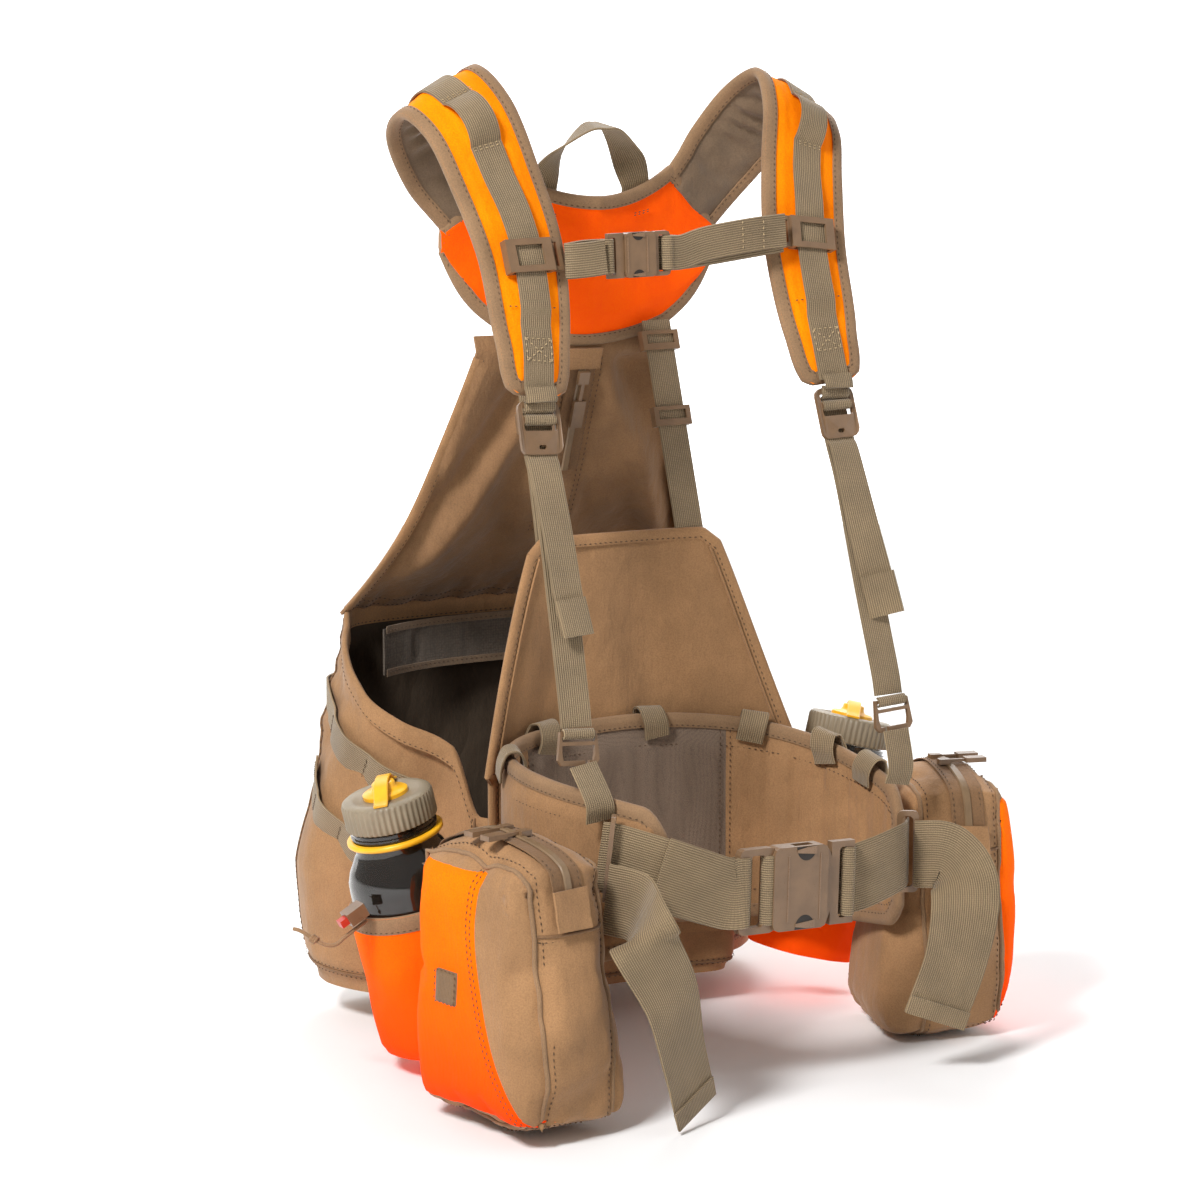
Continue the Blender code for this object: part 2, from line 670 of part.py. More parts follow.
def make_pouch_zip(name, mats):
    """A zipper along the middle of the pouch's top, with two pulls that meet there."""
    place = pouch_frame(name)
    top = POUCH[name][4] / 2 + 0.0014
    end = POUCH[name][2] / 2 * 0.62
    upright = place.to_3x3() @ Y
    track = [(place @ Vector((x, 0, top)), upright, 0.012) for x in (-end, 0, end)]
    ribbon(f"pouch_zipper_{name}", mats["grey_band"], track, 0.0012, 6)
    for label, along, reach in (("front", 0.010, 1), ("rear", -0.010, -1)):
        slider = box_mesh((0.007, 0.009, 0.0040))
        pull = add(f"pouch_zip_pull_{name}_{label}", slider, mats["plastic"], smooth=False)
        pull.matrix_world = place @ Matrix.Translation(Vector((along, 0, top + 0.0033)))
        combine(pull, "UNION", box_mesh((0.0026, 0.018, 0.0022), (reach * -0.001, 0.010, 0.0002)))
        combine(pull, "UNION", box_mesh((0.0095, 0.016, 0.0036), (reach * -0.001, 0.025, 0.0004)))


# ---------------------------------------------------------------- game bag
BAG_PLAN = [
    (0, 0.111), (0.060, 0.108), (0.100, 0.104), (0.116, 0.122), (0.134, 0.146), (0.160, 0.163), (
        0.184, 0.190
    ),
    (0.197, 0.235), (0.176, 0.275), (0.090, 0.290), (0, 0.292),
]
RIM_STEPS = 20


def bag_plan():
    """The wall's plan as points from the front middle, round by the wearer's left and back again."""
    half = spline([Vector((*p, 0)) for p in BAG_PLAN], RIM_STEPS)
    return half + [Vector((-p.x, p.y, 0)) for p in half[-2:0:-1]]


def rim_height(p):
    """The bag's upper edge: low at the front, then up both sides to where the upper panel starts."""
    front, back = 0.094, 0.262
    low, high = 0.045, BAG_HEM - CLOTH
    if abs(p.x) < 0.120 and p.y < 0.15:
        return 0.020
    if p.y > back:
        return high
    side_share = max(0.0, min(1.0, (p.y - front) / (back - front)))
    return low + (high - low) * side_share**1.25


def bag_wall(p, v, inset):
    """A point of the wall at share v of its height; inset moves it towards the bag's middle."""
    low = BAG_FLOOR + inset
    z = low + (rim_height(p) - low) * v
    up = max(0.0, z + 0.03) / (BAG_HEM + 0.03)
    elbow = max(0.0, min(1.0, (p.y - 0.15) / 0.10))
    middle = Vector((0, 0.20, 0))
    q = Vector((p.x * (1 - 0.20 * up * elbow), p.y, 0))
    if v == 0:
        q = middle + (q - middle) * 0.95
    q += (middle - q).normalized() * inset
    return Vector((q.x, q.y, z))


def make_bag(mats):
    plan = bag_plan()
    count = len(plan)
    levels = (0, 0.08, 0.35, 0.65, 1.0)
    points, rows = [], []
    for inset, order in ((0.0, levels), (CLOTH, levels[::-1])):
        for v in order:
            rows.append(len(points))
            points += [bag_wall(p, v, inset) for p in plan]
    faces = []
    for a, b in zip(rows, rows[1:]):
        for i in range(count):
            k = (i + 1) % count
            faces.append((a + i, a + k, b + k, b + i))
    for start, z in ((rows[0], BAG_FLOOR - 0.002), (rows[-1], BAG_FLOOR + CLOTH - 0.002)):
        points.append(Vector((0, 0.20, z)))
        for i in range(count):
            faces.append((len(points) - 1, start + i, start + (i + 1) % count))
    add("game_bag", mesh_of(points, faces), mats["tan_cloth"])


PANEL_TOP = 0.366
ZIP_FOOT = 0.270  # the panel hangs straight above here and sweeps back below


def upper_panel(u, v):
    """The panel widens downwards; from ZIP_FOOT down it sweeps back to meet the bag's hem."""
    z = BAG_HEM + (PANEL_TOP - BAG_HEM) * v
    half = 0.092 + 0.063 * (1 - v) ** 1.1 if u < 0 else 0.076 + 0.079 * (1 - v) ** 1.35
    y_mid = 0.157 + 0.36 * (PANEL_TOP - z) + 2.4 * max(0.0, ZIP_FOOT - z) ** 2
    return u * half, y_mid - 0.010 * abs(u) ** 2 * (1 - v), z


def make_gear_band(mats):
    """A mesh band inside the bag, along the top of its back wall."""

    def band(u, v):
        x = u * 0.130
        z = 0.112 + 0.036 * v
        return x, 0.272 - 0.030 * (abs(x) / 0.130) ** 3, z

    sheet("gear_band", mats["grey_band"], band, 10, 2, 0.0016)


def make_back_zip(mats):
    """A zipper down the middle of the panel's front, with a slider and its tab near the top."""
    zip_points = [upper_panel(0, v) for v in (0.94, 0.80, 0.65, 0.54)]
    track = [((p[0], p[1] - 0.0036, p[2]), X, 0.016) for p in zip_points]
    ribbon("back_zipper", mats["grey_band"], track, 0.0012, 8)
    top = Vector(zip_points[0])
    down = Vector(zip_points[2]) - Vector(zip_points[0])
    place = frame_at(top + down * 0.18 + Vector((0, -0.0078, 0)), down, X)
    pull = add("back_zip_pull", box_mesh((0.010, 0.009, 0.0040)), mats["plastic"], smooth=False)
    pull.matrix_world = place
    combine(pull, "UNION", box_mesh((0.020, 0.0028, 0.0022), (0.012, 0, 0.0004)))
    combine(pull, "UNION", box_mesh((0.022, 0.010, 0.0034), (0.030, 0, 0.0008)))


# ---------------------------------------------------------------- bottles
BOTTLE_TOP = {
    "right": Vector((-0.2150, 0.0620, 0.0500)), "left": Vector((0.2110, 0.1030, 0.0600))
}  # cap's middle
BOTTLE_LEAN = Vector((0.24, 0.0, 0.97))


def bottle_frame(name):
    """Local Z runs up the bottle from its foot."""
    lean = Vector((SIDES[name] * BOTTLE_LEAN.x, BOTTLE_LEAN.y, BOTTLE_LEAN.z)).normalized()
    foot = BOTTLE_TOP[name] - lean * (BOTTLE_HEIGHT + CAP_HEIGHT / 2)
    return Matrix.Translation(foot) @ Matrix((Y.cross(lean), Y, lean)).transposed().to_4x4()


def make_bottle(name, mats):
    """A wide-mouth bottle whose tether ring goes round its neck, below a cap with a small knob."""
    place = bottle_frame(name)
    r, h, neck = BOTTLE_RADIUS, BOTTLE_HEIGHT, 0.0305
    foot = [(0, 0), (r - 0.004, 0), (r, 0.005)]
    shoulder = [(r, h - 0.038), (r - 0.004, h - 0.028), (0.032, h - 0.020), (neck, h - 0.0165)]
    mouth = [(neck, h - 0.001), (0, h - 0.001)]
    lathe(f"bottle_{name}", mats["bottle"], foot + shoulder + mouth, place)
    near, far, low, high = neck + 0.0006, 0.0355, h - 0.0110, h - 0.0075
    collar = [(near, low), (far, low), (far, high), (near, high)]
    lathe_ring(f"bottle_tether_{name}", mats["yellow"], collar, place)
    make_cap(name, mats, place)


def make_cap(name, mats, place):
    c, low, top = CAP_RADIUS, BOTTLE_HEIGHT, BOTTLE_HEIGHT + CAP_HEIGHT
    lid = [(0, low), (c - 0.001, low), (c, low + 0.001), (c, top - 0.003), (c - 0.003, top)]
    knob = [(0.015, top), (0.015, top + 0.004), (0.009, top + 0.007), (0.009, top + 0.012), (0, top + 0.012)]
    lathe(f"bottle_cap_{name}", mats["cap"], lid + knob, place)


def make_bottle_pocket(name, mats):
    """A sleeve with a floor, open at the top, that the bottle stands in with a little play."""
    inner, outer, rim = BOTTLE_RADIUS + 0.0012, BOTTLE_RADIUS + 0.0040, 0.098
    outside = [(0, -0.0045), (outer - 0.006, -0.0045), (outer, 0.002), (outer, rim)]
    inside = [(inner, rim), (inner, -0.0015), (0, -0.0015)]
    lathe(f"bottle_pocket_{name}", mats["orange_cloth"], outside + inside, bottle_frame(name))


def lathe_ring(name, mat, section, place, steps=24):
    """A turned ring: the section is a closed loop of (radius, height)."""
    points = []
    for i in range(steps):
        angle = 2 * math.pi * i / steps
        points += [Vector((r * math.cos(angle), r * math.sin(angle), h)) for r, h in section]
    n = len(section)
    faces = []
    for i in range(steps):
        k = (i + 1) % steps
        for j in range(n):
            m = (j + 1) % n
            faces.append((n * i + j, n * i + m, n * k + m, n * k + j))
    obj = add(name, mesh_of(points, faces), mat)
    obj.matrix_world = place
    return obj


# ---------------------------------------------------------------- pocket cord and its lock
LOCK_AT = Vector((-0.2535, 0.0400, -0.0185))
LOCK_ALONG = Vector((0.80, 0.0, 0.45))
CORD = 0.0028
CORD_ROUTE = [
    (-0.2440, 0.0410, -0.0255), (-0.2500, 0.0400, -0.0280), (-0.2560, 0.0400, -0.0315), (
        -0.2620, 0.0402, -0.0352
    ),
    (-0.2668, 0.0406, -0.0388), (-0.2710, 0.0420, -0.0400), (-0.2752, 0.0444, -0.0392), (
        -0.2794, 0.0474, -0.0370
    ),
    (-0.2832, 0.0508, -0.0342), (-0.2864, 0.0544, -0.0316), (-0.2890, 0.0582, -0.0300), (
        -0.2908, 0.0620, -0.0298
    ),
]


def make_cord_lock(mats):
    """A hollow barrel with a button that slides into its lower end."""
    place = frame_at(LOCK_AT, LOCK_ALONG, Y)
    barrel = add("cord_lock_barrel_right", box_mesh((0.015, 0.012, 0.010)), mats["plastic"], smooth=False)
    barrel.matrix_world = place
    combine(barrel, "DIFFERENCE", box_mesh((0.014, 0.0076, 0.0062), (-0.0030, 0, 0)))
    stem = box_mesh((0.0140, 0.0068, 0.0054), (-0.0065, 0, 0))
    button = add("cord_lock_button_right", stem, mats["plastic"], smooth=False)
    button.matrix_world = place


def make_cord(mats):
    """The drawn tail of the pocket's cord, which passes beside the lock and rises at its free end."""
    curve = bpy.data.curves.new("cord", "CURVE")
    curve.dimensions = "3D"
    curve.bevel_depth = CORD / 2
    curve.bevel_resolution = 2
    curve.use_fill_caps = True
    line = curve.splines.new("POLY")
    points = spline([Vector(p) for p in CORD_ROUTE], 22)
    line.points.add(len(points) - 1)
    for slot, p in zip(line.points, points):
        slot.co = (*p, 1)
    obj = bpy.data.objects.new("pocket_cord_right", curve)
    bpy.context.scene.collection.objects.link(obj)
    curve.materials.append(mats["webbing"])


def main():
    clear_scene()
    mats = make_materials()
    make_yoke(mats)
    make_handle(mats)
    for name, side in SIDES.items():
        make_harness_side(name, side, mats)
        make_sternum_slider(name, side, mats)
        make_ladder_lock(name, side, mats)
        make_adjuster(name, side, mats)
        make_hook(name, side, mats)
        make_hook_loop(name, side, mats)
        make_torso_strap(name, side, mats)
        make_pouch(name, mats)
        make_pouch_zip(name, mats)
        make_bottle(name, mats)
        make_bottle_pocket(name, mats)
    make_sternum(mats)
    make_bib(mats)
    make_belt_pad(mats)
    buckle = frame_at((0.013, -0.1185, 0.002), (1, 0.02, -0.03), Z)
    make_waist_buckle(mats, buckle)
    make_waist_webbing(mats, buckle)
    make_keepers(mats)
    make_tails(mats)
    make_bag(mats)
    sheet("upper_back_panel", mats["tan_cloth"], upper_panel, 12, 8, CLOTH)
    make_gear_band(mats)
    make_back_zip(mats)
    make_cord_lock(mats)
    make_cord(mats)


main()
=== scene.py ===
"""Upland vest pack: the looks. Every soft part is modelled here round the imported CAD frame, in metres.

+Z is up and the wearer faces -Y, so the wearer's right is -X. A surface's "front" is the side its Skin faces.
"""

import math

import bmesh
import bpy
from mathutils import Matrix, Vector, noise
from mathutils.bvhtree import BVHTree


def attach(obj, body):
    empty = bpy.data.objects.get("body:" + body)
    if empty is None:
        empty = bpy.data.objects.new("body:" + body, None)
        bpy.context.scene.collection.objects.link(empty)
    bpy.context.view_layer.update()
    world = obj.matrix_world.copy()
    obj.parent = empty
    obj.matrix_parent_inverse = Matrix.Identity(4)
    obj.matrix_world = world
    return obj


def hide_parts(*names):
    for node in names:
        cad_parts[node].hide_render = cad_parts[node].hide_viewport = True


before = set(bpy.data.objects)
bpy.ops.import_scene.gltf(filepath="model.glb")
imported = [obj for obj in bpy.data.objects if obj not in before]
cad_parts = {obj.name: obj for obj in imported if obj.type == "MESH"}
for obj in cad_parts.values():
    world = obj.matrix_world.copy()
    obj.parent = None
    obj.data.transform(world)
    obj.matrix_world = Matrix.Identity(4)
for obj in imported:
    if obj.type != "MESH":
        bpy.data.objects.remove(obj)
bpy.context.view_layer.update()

X, Y, Z = Vector((1, 0, 0)), Vector((0, 1, 0)), Vector((0, 0, 1))
SIDES = {"right": -1, "left": 1}
WEB = 0.0018  # webbing thickness
NARROW, WIDE = 0.025, 0.050  # webbing widths
PAD = 0.0050  # half the padding's thickness in yoke and straps
BINDING = 0.0085  # how far a binding tape reaches in from the edge


# ---------------------------------------------------------------- materials
class Nodes:
    """A short way to wire up a Principled material."""

    def __init__(self, name, colour, roughness, **sockets):
        self.material = bpy.data.materials.new(name)
        self.material.use_nodes = True
        self.tree = self.material.node_tree
        self.shader = self.tree.nodes["Principled BSDF"]
        self.shader.inputs["Base Color"].default_value = (*colour, 1)
        self.shader.inputs["Roughness"].default_value = roughness
        for socket, value in sockets.items():
            self.shader.inputs[socket.replace("_", " ")].default_value = value

    def node(self, kind, inputs=(), **settings):
        made = self.tree.nodes.new(kind)
        for key, value in settings.items():
            setattr(made, key, value)
        for key, value in dict(inputs).items():
            if isinstance(value, bpy.types.NodeSocket):
                self.tree.links.new(value, made.inputs[key])
            else:
                made.inputs[key].default_value = value
        return made

    def link(self, output, socket):
        self.tree.links.new(output, self.shader.inputs[socket])

    def coords(self, uv=False, scale=(1, 1, 1)):
        source = self.node("ShaderNodeTexCoord").outputs["UV" if uv else "Object"]
        return self.node("ShaderNodeMapping", {"Vector": source, "Scale": scale}).outputs[0]

    def noise(self, vector, scale, detail=3.0, rough=0.55):
        inputs = {"Vector": vector, "Scale": scale, "Detail": detail, "Roughness": rough}
        return self.node("ShaderNodeTexNoise", inputs).outputs["Fac"]

    def ramp(self, value, stops):
        made = self.node("ShaderNodeValToRGB", {"Fac": value})
        ramp = made.color_ramp
        while len(ramp.elements) < len(stops):
            ramp.elements.new(0.5)
        for element, (place, colour) in zip(ramp.elements, stops):
            element.position = place
            element.color = (*colour, 1)
        return made.outputs["Color"]

    def mix(self, share, first, second, how="MIX"):
        made = self.node("ShaderNodeMix", data_type="RGBA", blend_type=how)
        for index, value in ((0, share), (6, first), (7, second)):
            if isinstance(value, bpy.types.NodeSocket):
                self.tree.links.new(value, made.inputs[index])
            else:
                made.inputs[index].default_value = value if index == 0 else (*value, 1)
        return made.outputs[2]

    def math(self, how, first, second):
        return self.node("ShaderNodeMath", {0: first, 1: second}, operation=how).outputs[0]

    def wave(self, along, pitch):
        """Even ridges from 0 to 1 at that pitch in metres."""
        turn = self.math("SINE", self.math("MULTIPLY", along, 2 * math.pi / pitch), 0.0)
        return self.math("ADD", self.math("MULTIPLY", turn, 0.5), 0.5)

    def bump(self, height, strength, distance, below=None):
        inputs = {"Height": height, "Strength": strength, "Distance": distance}
        if below:
            inputs["Normal"] = below
        return self.node("ShaderNodeBump", inputs).outputs[0]


def shade(colour, factor):
    """The colour, lighter or darker by that factor."""
    return tuple(min(1.0, c * factor) for c in colour)


def cloth(name, colour, contrast=0.16, crease=0.35, painted_glow=0.0, sheen=0.15, shine=0.35, painted_shade_colour=None):
    """Plain-woven nylon: a fine weave, blotchy dye and small creases.

    The emission is painted light: it makes a bright dye look lit, though the cloth is no lamp. The colour
    given for near the floor is painted shade, where the pack shades itself.
    """
    m = Nodes(name, colour, 0.8, Sheen_Weight=sheen, Sheen_Roughness=0.45, Specular_IOR_Level=shine)
    at = m.coords()
    blotch = m.noise(at, 22, 4)
    fleck = m.noise(at, 900, 2, 0.7)
    tone = m.ramp(blotch, [(0.30, shade(colour, 1 - contrast)), (0.70, shade(colour, 1 + contrast))])
    flecks = m.ramp(fleck, [(0.30, (0.72, 0.72, 0.72)), (0.62, (1.08, 1.08, 1.08))])
    tinted = m.mix(0.75, tone, flecks, "MULTIPLY")
    # painted shade: the dye is blended towards a darker, redder colour near the floor
    if painted_shade_colour:
        height = m.node("ShaderNodeSeparateXYZ", {"Vector": at}).outputs["Z"]
        share = m.math("DIVIDE", m.math("ADD", height, 0.14), 0.16)
        tinted = m.mix(share, painted_shade_colour, tinted)
    m.link(tinted, "Base Color")
    # painted light: a small red emission, though the cloth is no lamp
    if painted_glow:
        m.shader.inputs["Emission Color"].default_value = (1.0, 0.04, 0.0, 1.0)
        m.shader.inputs["Emission Strength"].default_value = painted_glow
    m.link(m.ramp(fleck, [(0.2, (0.68,) * 3), (0.8, (0.92,) * 3)]), "Roughness")
    yarns = {"Vector": at, "Scale": 520, "Distortion": 0.6}
    warp, weft = (m.node("ShaderNodeTexWave", yarns, bands_direction=axis) for axis in "XZ")
    weave = m.math("MULTIPLY", warp.outputs["Fac"], weft.outputs["Fac"])
    creases = m.noise(m.coords(scale=(1, 1, 0.45)), 38, 4, 0.62)
    ridges = m.math("ABSOLUTE", m.math("SUBTRACT", m.noise(m.coords(scale=(1, 1, 0.6)), 17, 3), 0.5), 0.0)
    low = m.bump(ridges, crease * 0.9, 0.018, m.bump(creases, crease, 0.006))
    m.link(m.bump(weave, 0.35, 0.0004, low), "Normal")
    return m.material


def webbing(name, colour):
    """Ribbed nylon webbing. Its UVs are in metres: across, then along."""
    m = Nodes(name, colour, 0.72, Sheen_Weight=0.2, Sheen_Roughness=0.4, Specular_IOR_Level=0.4)
    at = m.node("ShaderNodeSeparateXYZ", {"Vector": m.coords(uv=True)})
    ribs = m.wave(at.outputs["X"], 0.00165)
    picks = m.wave(at.outputs["Y"], 0.00130)
    relief = m.math("MULTIPLY", ribs, m.math("ADD", m.math("MULTIPLY", picks, 0.45), 0.55))
    blotch = m.noise(m.coords(), 30, 3)
    tone = m.ramp(blotch, [(0.3, shade(colour, 0.86)), (0.7, shade(colour, 1.12))])
    # painted shade: the grooves between the ribs are darkened in the colour
    weave = m.ramp(relief, [(0.05, (0.42, 0.40, 0.38)), (0.75, (1.10, 1.10, 1.10))])
    m.link(m.mix(0.9, tone, weave, "MULTIPLY"), "Base Color")
    m.link(m.bump(relief, 0.9, 0.0006), "Normal")
    return m.material


def plastic(name, colour, roughness=0.38):
    m = Nodes(name, colour, roughness, Specular_IOR_Level=0.5, Coat_Weight=0.15, Coat_Roughness=0.3)
    at = m.coords()
    grain = m.noise(at, 1400, 2)
    tone = m.ramp(m.noise(at, 60, 3), [(0.35, shade(colour, 0.88)), (0.65, shade(colour, 1.08))])
    m.link(tone, "Base Color")
    m.link(m.ramp(grain, [(0.3, (roughness - 0.06,) * 3), (0.7, (roughness + 0.1,) * 3)]), "Roughness")
    m.link(m.bump(grain, 0.25, 0.0002), "Normal")
    return m.material


def knit(name, colour, pitch):
    """An open, square-set mesh or grip fabric."""
    m = Nodes(name, colour, 0.9, Sheen_Weight=0.1)
    at = m.coords()
    cells = m.node("ShaderNodeTexVoronoi", {"Vector": at, "Scale": 1 / pitch, "Randomness": 0.45})
    # painted light and shade: each cell is lighter in its raised middle and darker at its dented edges
    cells_lit_and_shaded = m.ramp(cells.outputs["Distance"], [(0.15, shade(colour, 1.25)), (0.75, shade(colour, 0.45))])
    m.link(m.mix(m.noise(at, 40, 3), cells_lit_and_shaded, shade(colour, 0.8)), "Base Color")
    m.link(m.bump(cells.outputs["Distance"], 0.6, -0.0006), "Normal")
    return m.material


def clear_plastic(name, colour):
    m = Nodes(name, colour, 0.06, Transmission_Weight=0.9, IOR=1.45, Coat_Weight=0.6, Coat_Roughness=0.03)
    haze = m.noise(m.coords(), 80, 3)
    m.link(m.ramp(haze, [(0.3, (0.03,) * 3), (0.8, (0.14,) * 3)]), "Roughness")
    return m.material


TAN = (0.360, 0.192, 0.084)
BRIGHT = {"crease": 0.25, "sheen": 0.0, "shine": 0.10}  # a strong, flat dye
M = {
    "tan": cloth("tan_nylon", TAN),
    # painted shade: a darker copy of the tan for the upper back panel, which lies in shade
    "tan_panel_shaded": cloth("tan_nylon_panel_shaded", (0.285, 0.152, 0.068), crease=0.5),
    "tan_dark": cloth("tan_nylon_shaded", (0.215, 0.115, 0.052)),
    "binding": cloth("binding_tape", (0.290, 0.170, 0.086), crease=0.1),
    "lining": cloth("strap_lining", (0.190, 0.125, 0.074), sheen=0.3),
    # painted shade: the bag's inner face is near black, as shade inside the bag
    "inside": cloth("bag_inside_shaded", (0.060, 0.040, 0.024), sheen=0.0),
    # painted light and shade: this orange glows a little and turns darker and redder towards the floor
    "orange": cloth(
        "blaze_orange_nylon", (1.0, 0.190, 0.0), contrast=0.12, painted_glow=0.22, painted_shade_colour=(
            1.0, 0.055, 0.0
        ), **BRIGHT
    ),
    # painted light: a lighter, yellower copy of the orange, as if lit, for the shoulder straps
    "orange_strap_lit": cloth("blaze_orange_strap", (1.0, 0.265, 0.0), painted_glow=0.20, **BRIGHT),
    # painted shade: a darker, redder copy of the orange, as if shaded, for the yoke
    "orange_yoke_shaded": cloth("blaze_orange_yoke", (1.0, 0.105, 0.0), painted_glow=0.22, **BRIGHT),
    "web": webbing("khaki_webbing", (0.330, 0.236, 0.132)),
    "thread": cloth("tan_thread", (0.50, 0.36, 0.20), crease=0.0),
    # painted shade: dark brown stitches stand in for the shadow in the needle holes; the thread itself is
    # light
    "shaded_stitches": cloth("stitch_hole_shadow", (0.105, 0.060, 0.030), crease=0.0),
    "moulded": plastic("moulded_detail", (0.240, 0.142, 0.078), 0.30),
    "shadow": plastic("window_shade", (0.016, 0.010, 0.006), 0.60),
    "plastic": plastic("coyote_plastic", (0.200, 0.116, 0.060), 0.33),
    "cap": plastic("khaki_cap_plastic", (0.270, 0.215, 0.140), 0.5),
    "yellow": plastic("yellow_plastic", (1.0, 0.480, 0.012), 0.35),
    "red": plastic("red_plastic", (0.55, 0.035, 0.015), 0.35),
    "zip": plastic("zip_teeth", (0.210, 0.130, 0.065), 0.45),
    "mesh": knit("grey_mesh", (0.125, 0.098, 0.074), 0.0022),
    "grip": knit("brown_grip_fabric", (0.230, 0.158, 0.108), 0.0009),
    "patch": cloth("patch_cloth", (0.200, 0.120, 0.060), crease=0.1),
    "bottle": clear_plastic("smoke_bottle", (0.110, 0.092, 0.072)),
}


# ---------------------------------------------------------------- shapes
def piece(name, verts, faces, materials, body="harness", uvs=None, which=None, stands_for=()):
    """A smooth mesh that rides on a CAD body. uvs are per vertex; which(face index) picks its material."""
    mesh = bpy.data.meshes.new(name)
    mesh.from_pydata([tuple(v) for v in verts], [], faces)
    for material in materials if isinstance(materials, (list, tuple)) else [materials]:
        mesh.materials.append(material)
    if uvs:
        layer = mesh.uv_layers.new(name="UVMap")
        for loop in mesh.loops:
            layer.data[loop.index].uv = uvs[loop.vertex_index]
    if which:
        for polygon in mesh.polygons:
            polygon.material_index = which(polygon.index)
    mesh.shade_smooth()
    mesh.set_sharp_from_angle(angle=math.radians(50))
    obj = bpy.data.objects.new(name, mesh)
    bpy.context.scene.collection.objects.link(obj)
    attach(obj, body)
    if stands_for:
        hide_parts(*stands_for)
    return obj


def spline(knots, steps):
    """Points read at even parameters from a Catmull-Rom curve through the knots. A knot is any vector."""
    return [curve_at(knots, i / steps) for i in range(steps + 1)]


def curve_at(knots, share):
    last = len(knots) - 1
    at = min(max(share, 0.0) * last, last - 1e-9)
    k = int(at)
    t = at - k
    a, b, c, d = (knots[max(0, min(last, j))] for j in (k - 1, k, k + 1, k + 2))
    if k == 0:
        a = 2 * b - c
    if k + 1 == last:
        d = 2 * c - b
    return 0.5 * (2 * b + (c - a) * t + (2 * a - 5 * b + 4 * c - d) * t**2 + (3 * b - a - 3 * c + d) * t**3)


def smooth_step(x, low, high):
    t = max(0.0, min(1.0, (x - low) / (high - low)))
    return t * t * (3 - 2 * t)


def bell(x, middle, width):
    return math.exp(-(((x - middle) / width) ** 2))


def ripple(p, scale, amount, seed=0.0):
    """Smooth seeded noise at a point; scale holds cycles per metre on each axis."""
    q = Vector((p[0] * scale[0] + seed, p[1] * scale[1] - seed, p[2] * scale[2] + 2 * seed))
    return amount * noise.noise(q)


def sweep(count, n, caps=True):
    """Faces that join count rings of n vertices each, numbered one ring after another."""
    faces = []
    for i in range(count - 1):
        for j in range(n):
            k = (j + 1) % n
            faces.append((i * n + j, i * n + k, (i + 1) * n + k, (i + 1) * n + j))
    if caps:
        faces.append(tuple(reversed(range(n))))
        faces.append(tuple(range((count - 1) * n, count * n)))
    return faces


def grid_faces(columns, rows):
    """Faces over a grid of vertices, numbered row after row, with one more vertex than columns in each."""
    row = columns + 1
    return [(a, a + 1, a + 1 + row, a + row) for j in range(rows) for a in range(j * row, j * row + columns)]


def strap(
    name,
    stations,
    body="harness",
    thickness=WEB,
    steps=None,
    stands_for=(),
    material="web",
    lift=0.0,
    fold=None,
):
    """Flat webbing along a smooth path. A station is (centre, width direction, width).

    fold(share) may lift parts of the strap off its path along its normal.
    """
    knots = [Vector((*p, *Vector(w).normalized(), size)) for p, w, size in stations]
    rough = sum((Vector(b[0]) - Vector(a[0])).length for a, b in zip(stations, stations[1:]))
    steps = steps or max(8, int(rough / 0.0035))
    rows = spline(knots, steps)
    centres = [Vector(r[:3]) for r in rows]
    verts, uvs, run = [], [], 0.0
    for i, row in enumerate(rows):
        along = (centres[min(i + 1, steps)] - centres[max(i - 1, 0)]).normalized()
        across = Vector(row[3:6])
        across = (across - across.dot(along) * along).normalized()
        normal = along.cross(across)
        run += (centres[i] - centres[max(i - 1, 0)]).length
        raised = lift + (fold(i / steps) if fold else 0.0)
        for x, z in strap_section(row[6], thickness):
            verts.append(centres[i] + across * x + normal * (z + raised))
            uvs.append((x, run))
    faces = sweep(len(rows), len(verts) // len(rows))
    return piece(name, verts, faces, M[material], body, uvs, stands_for=stands_for)


def strap_section(width, thickness):
    """The outline of flat webbing with rounded edges, as (across, height) points."""
    edge = thickness * 0.4
    half, flat = width / 2, thickness / 2
    top = [
        (half, 0),
        (half - edge, flat),
        (half * 0.5, flat),
        (0, flat),
        (-half * 0.5, flat),
        (-half + edge, flat),
    ]
    return top + [(-x, -z) for x, z in top]


def tube(name, path, radius, material, body="harness", sides=8, stands_for=(), closed=False):
    """A round cord or piping along a list of points."""
    verts, count = [], len(path)
    up = Vector((0.31, 0.22, 0.92))  # in line with no cord here
    for i, p in enumerate(path):
        ahead = path[(i + 1) % count] if closed or i + 1 < count else path[i]
        behind = path[i - 1] if closed or i else path[i]
        along = (Vector(ahead) - Vector(behind)).normalized()
        side = along.cross(up).normalized()
        up = side.cross(along).normalized()
        for j in range(sides):
            angle = 2 * math.pi * j / sides
            verts.append(Vector(p) + radius * (math.cos(angle) * side + math.sin(angle) * up))
    faces = sweep(count, sides, caps=not closed)
    if closed:
        last = (count - 1) * sides
        faces += [(last + j, last + (j + 1) % sides, (j + 1) % sides, j) for j in range(sides)]
    return piece(name, verts, faces, M[material], body, stands_for=stands_for)


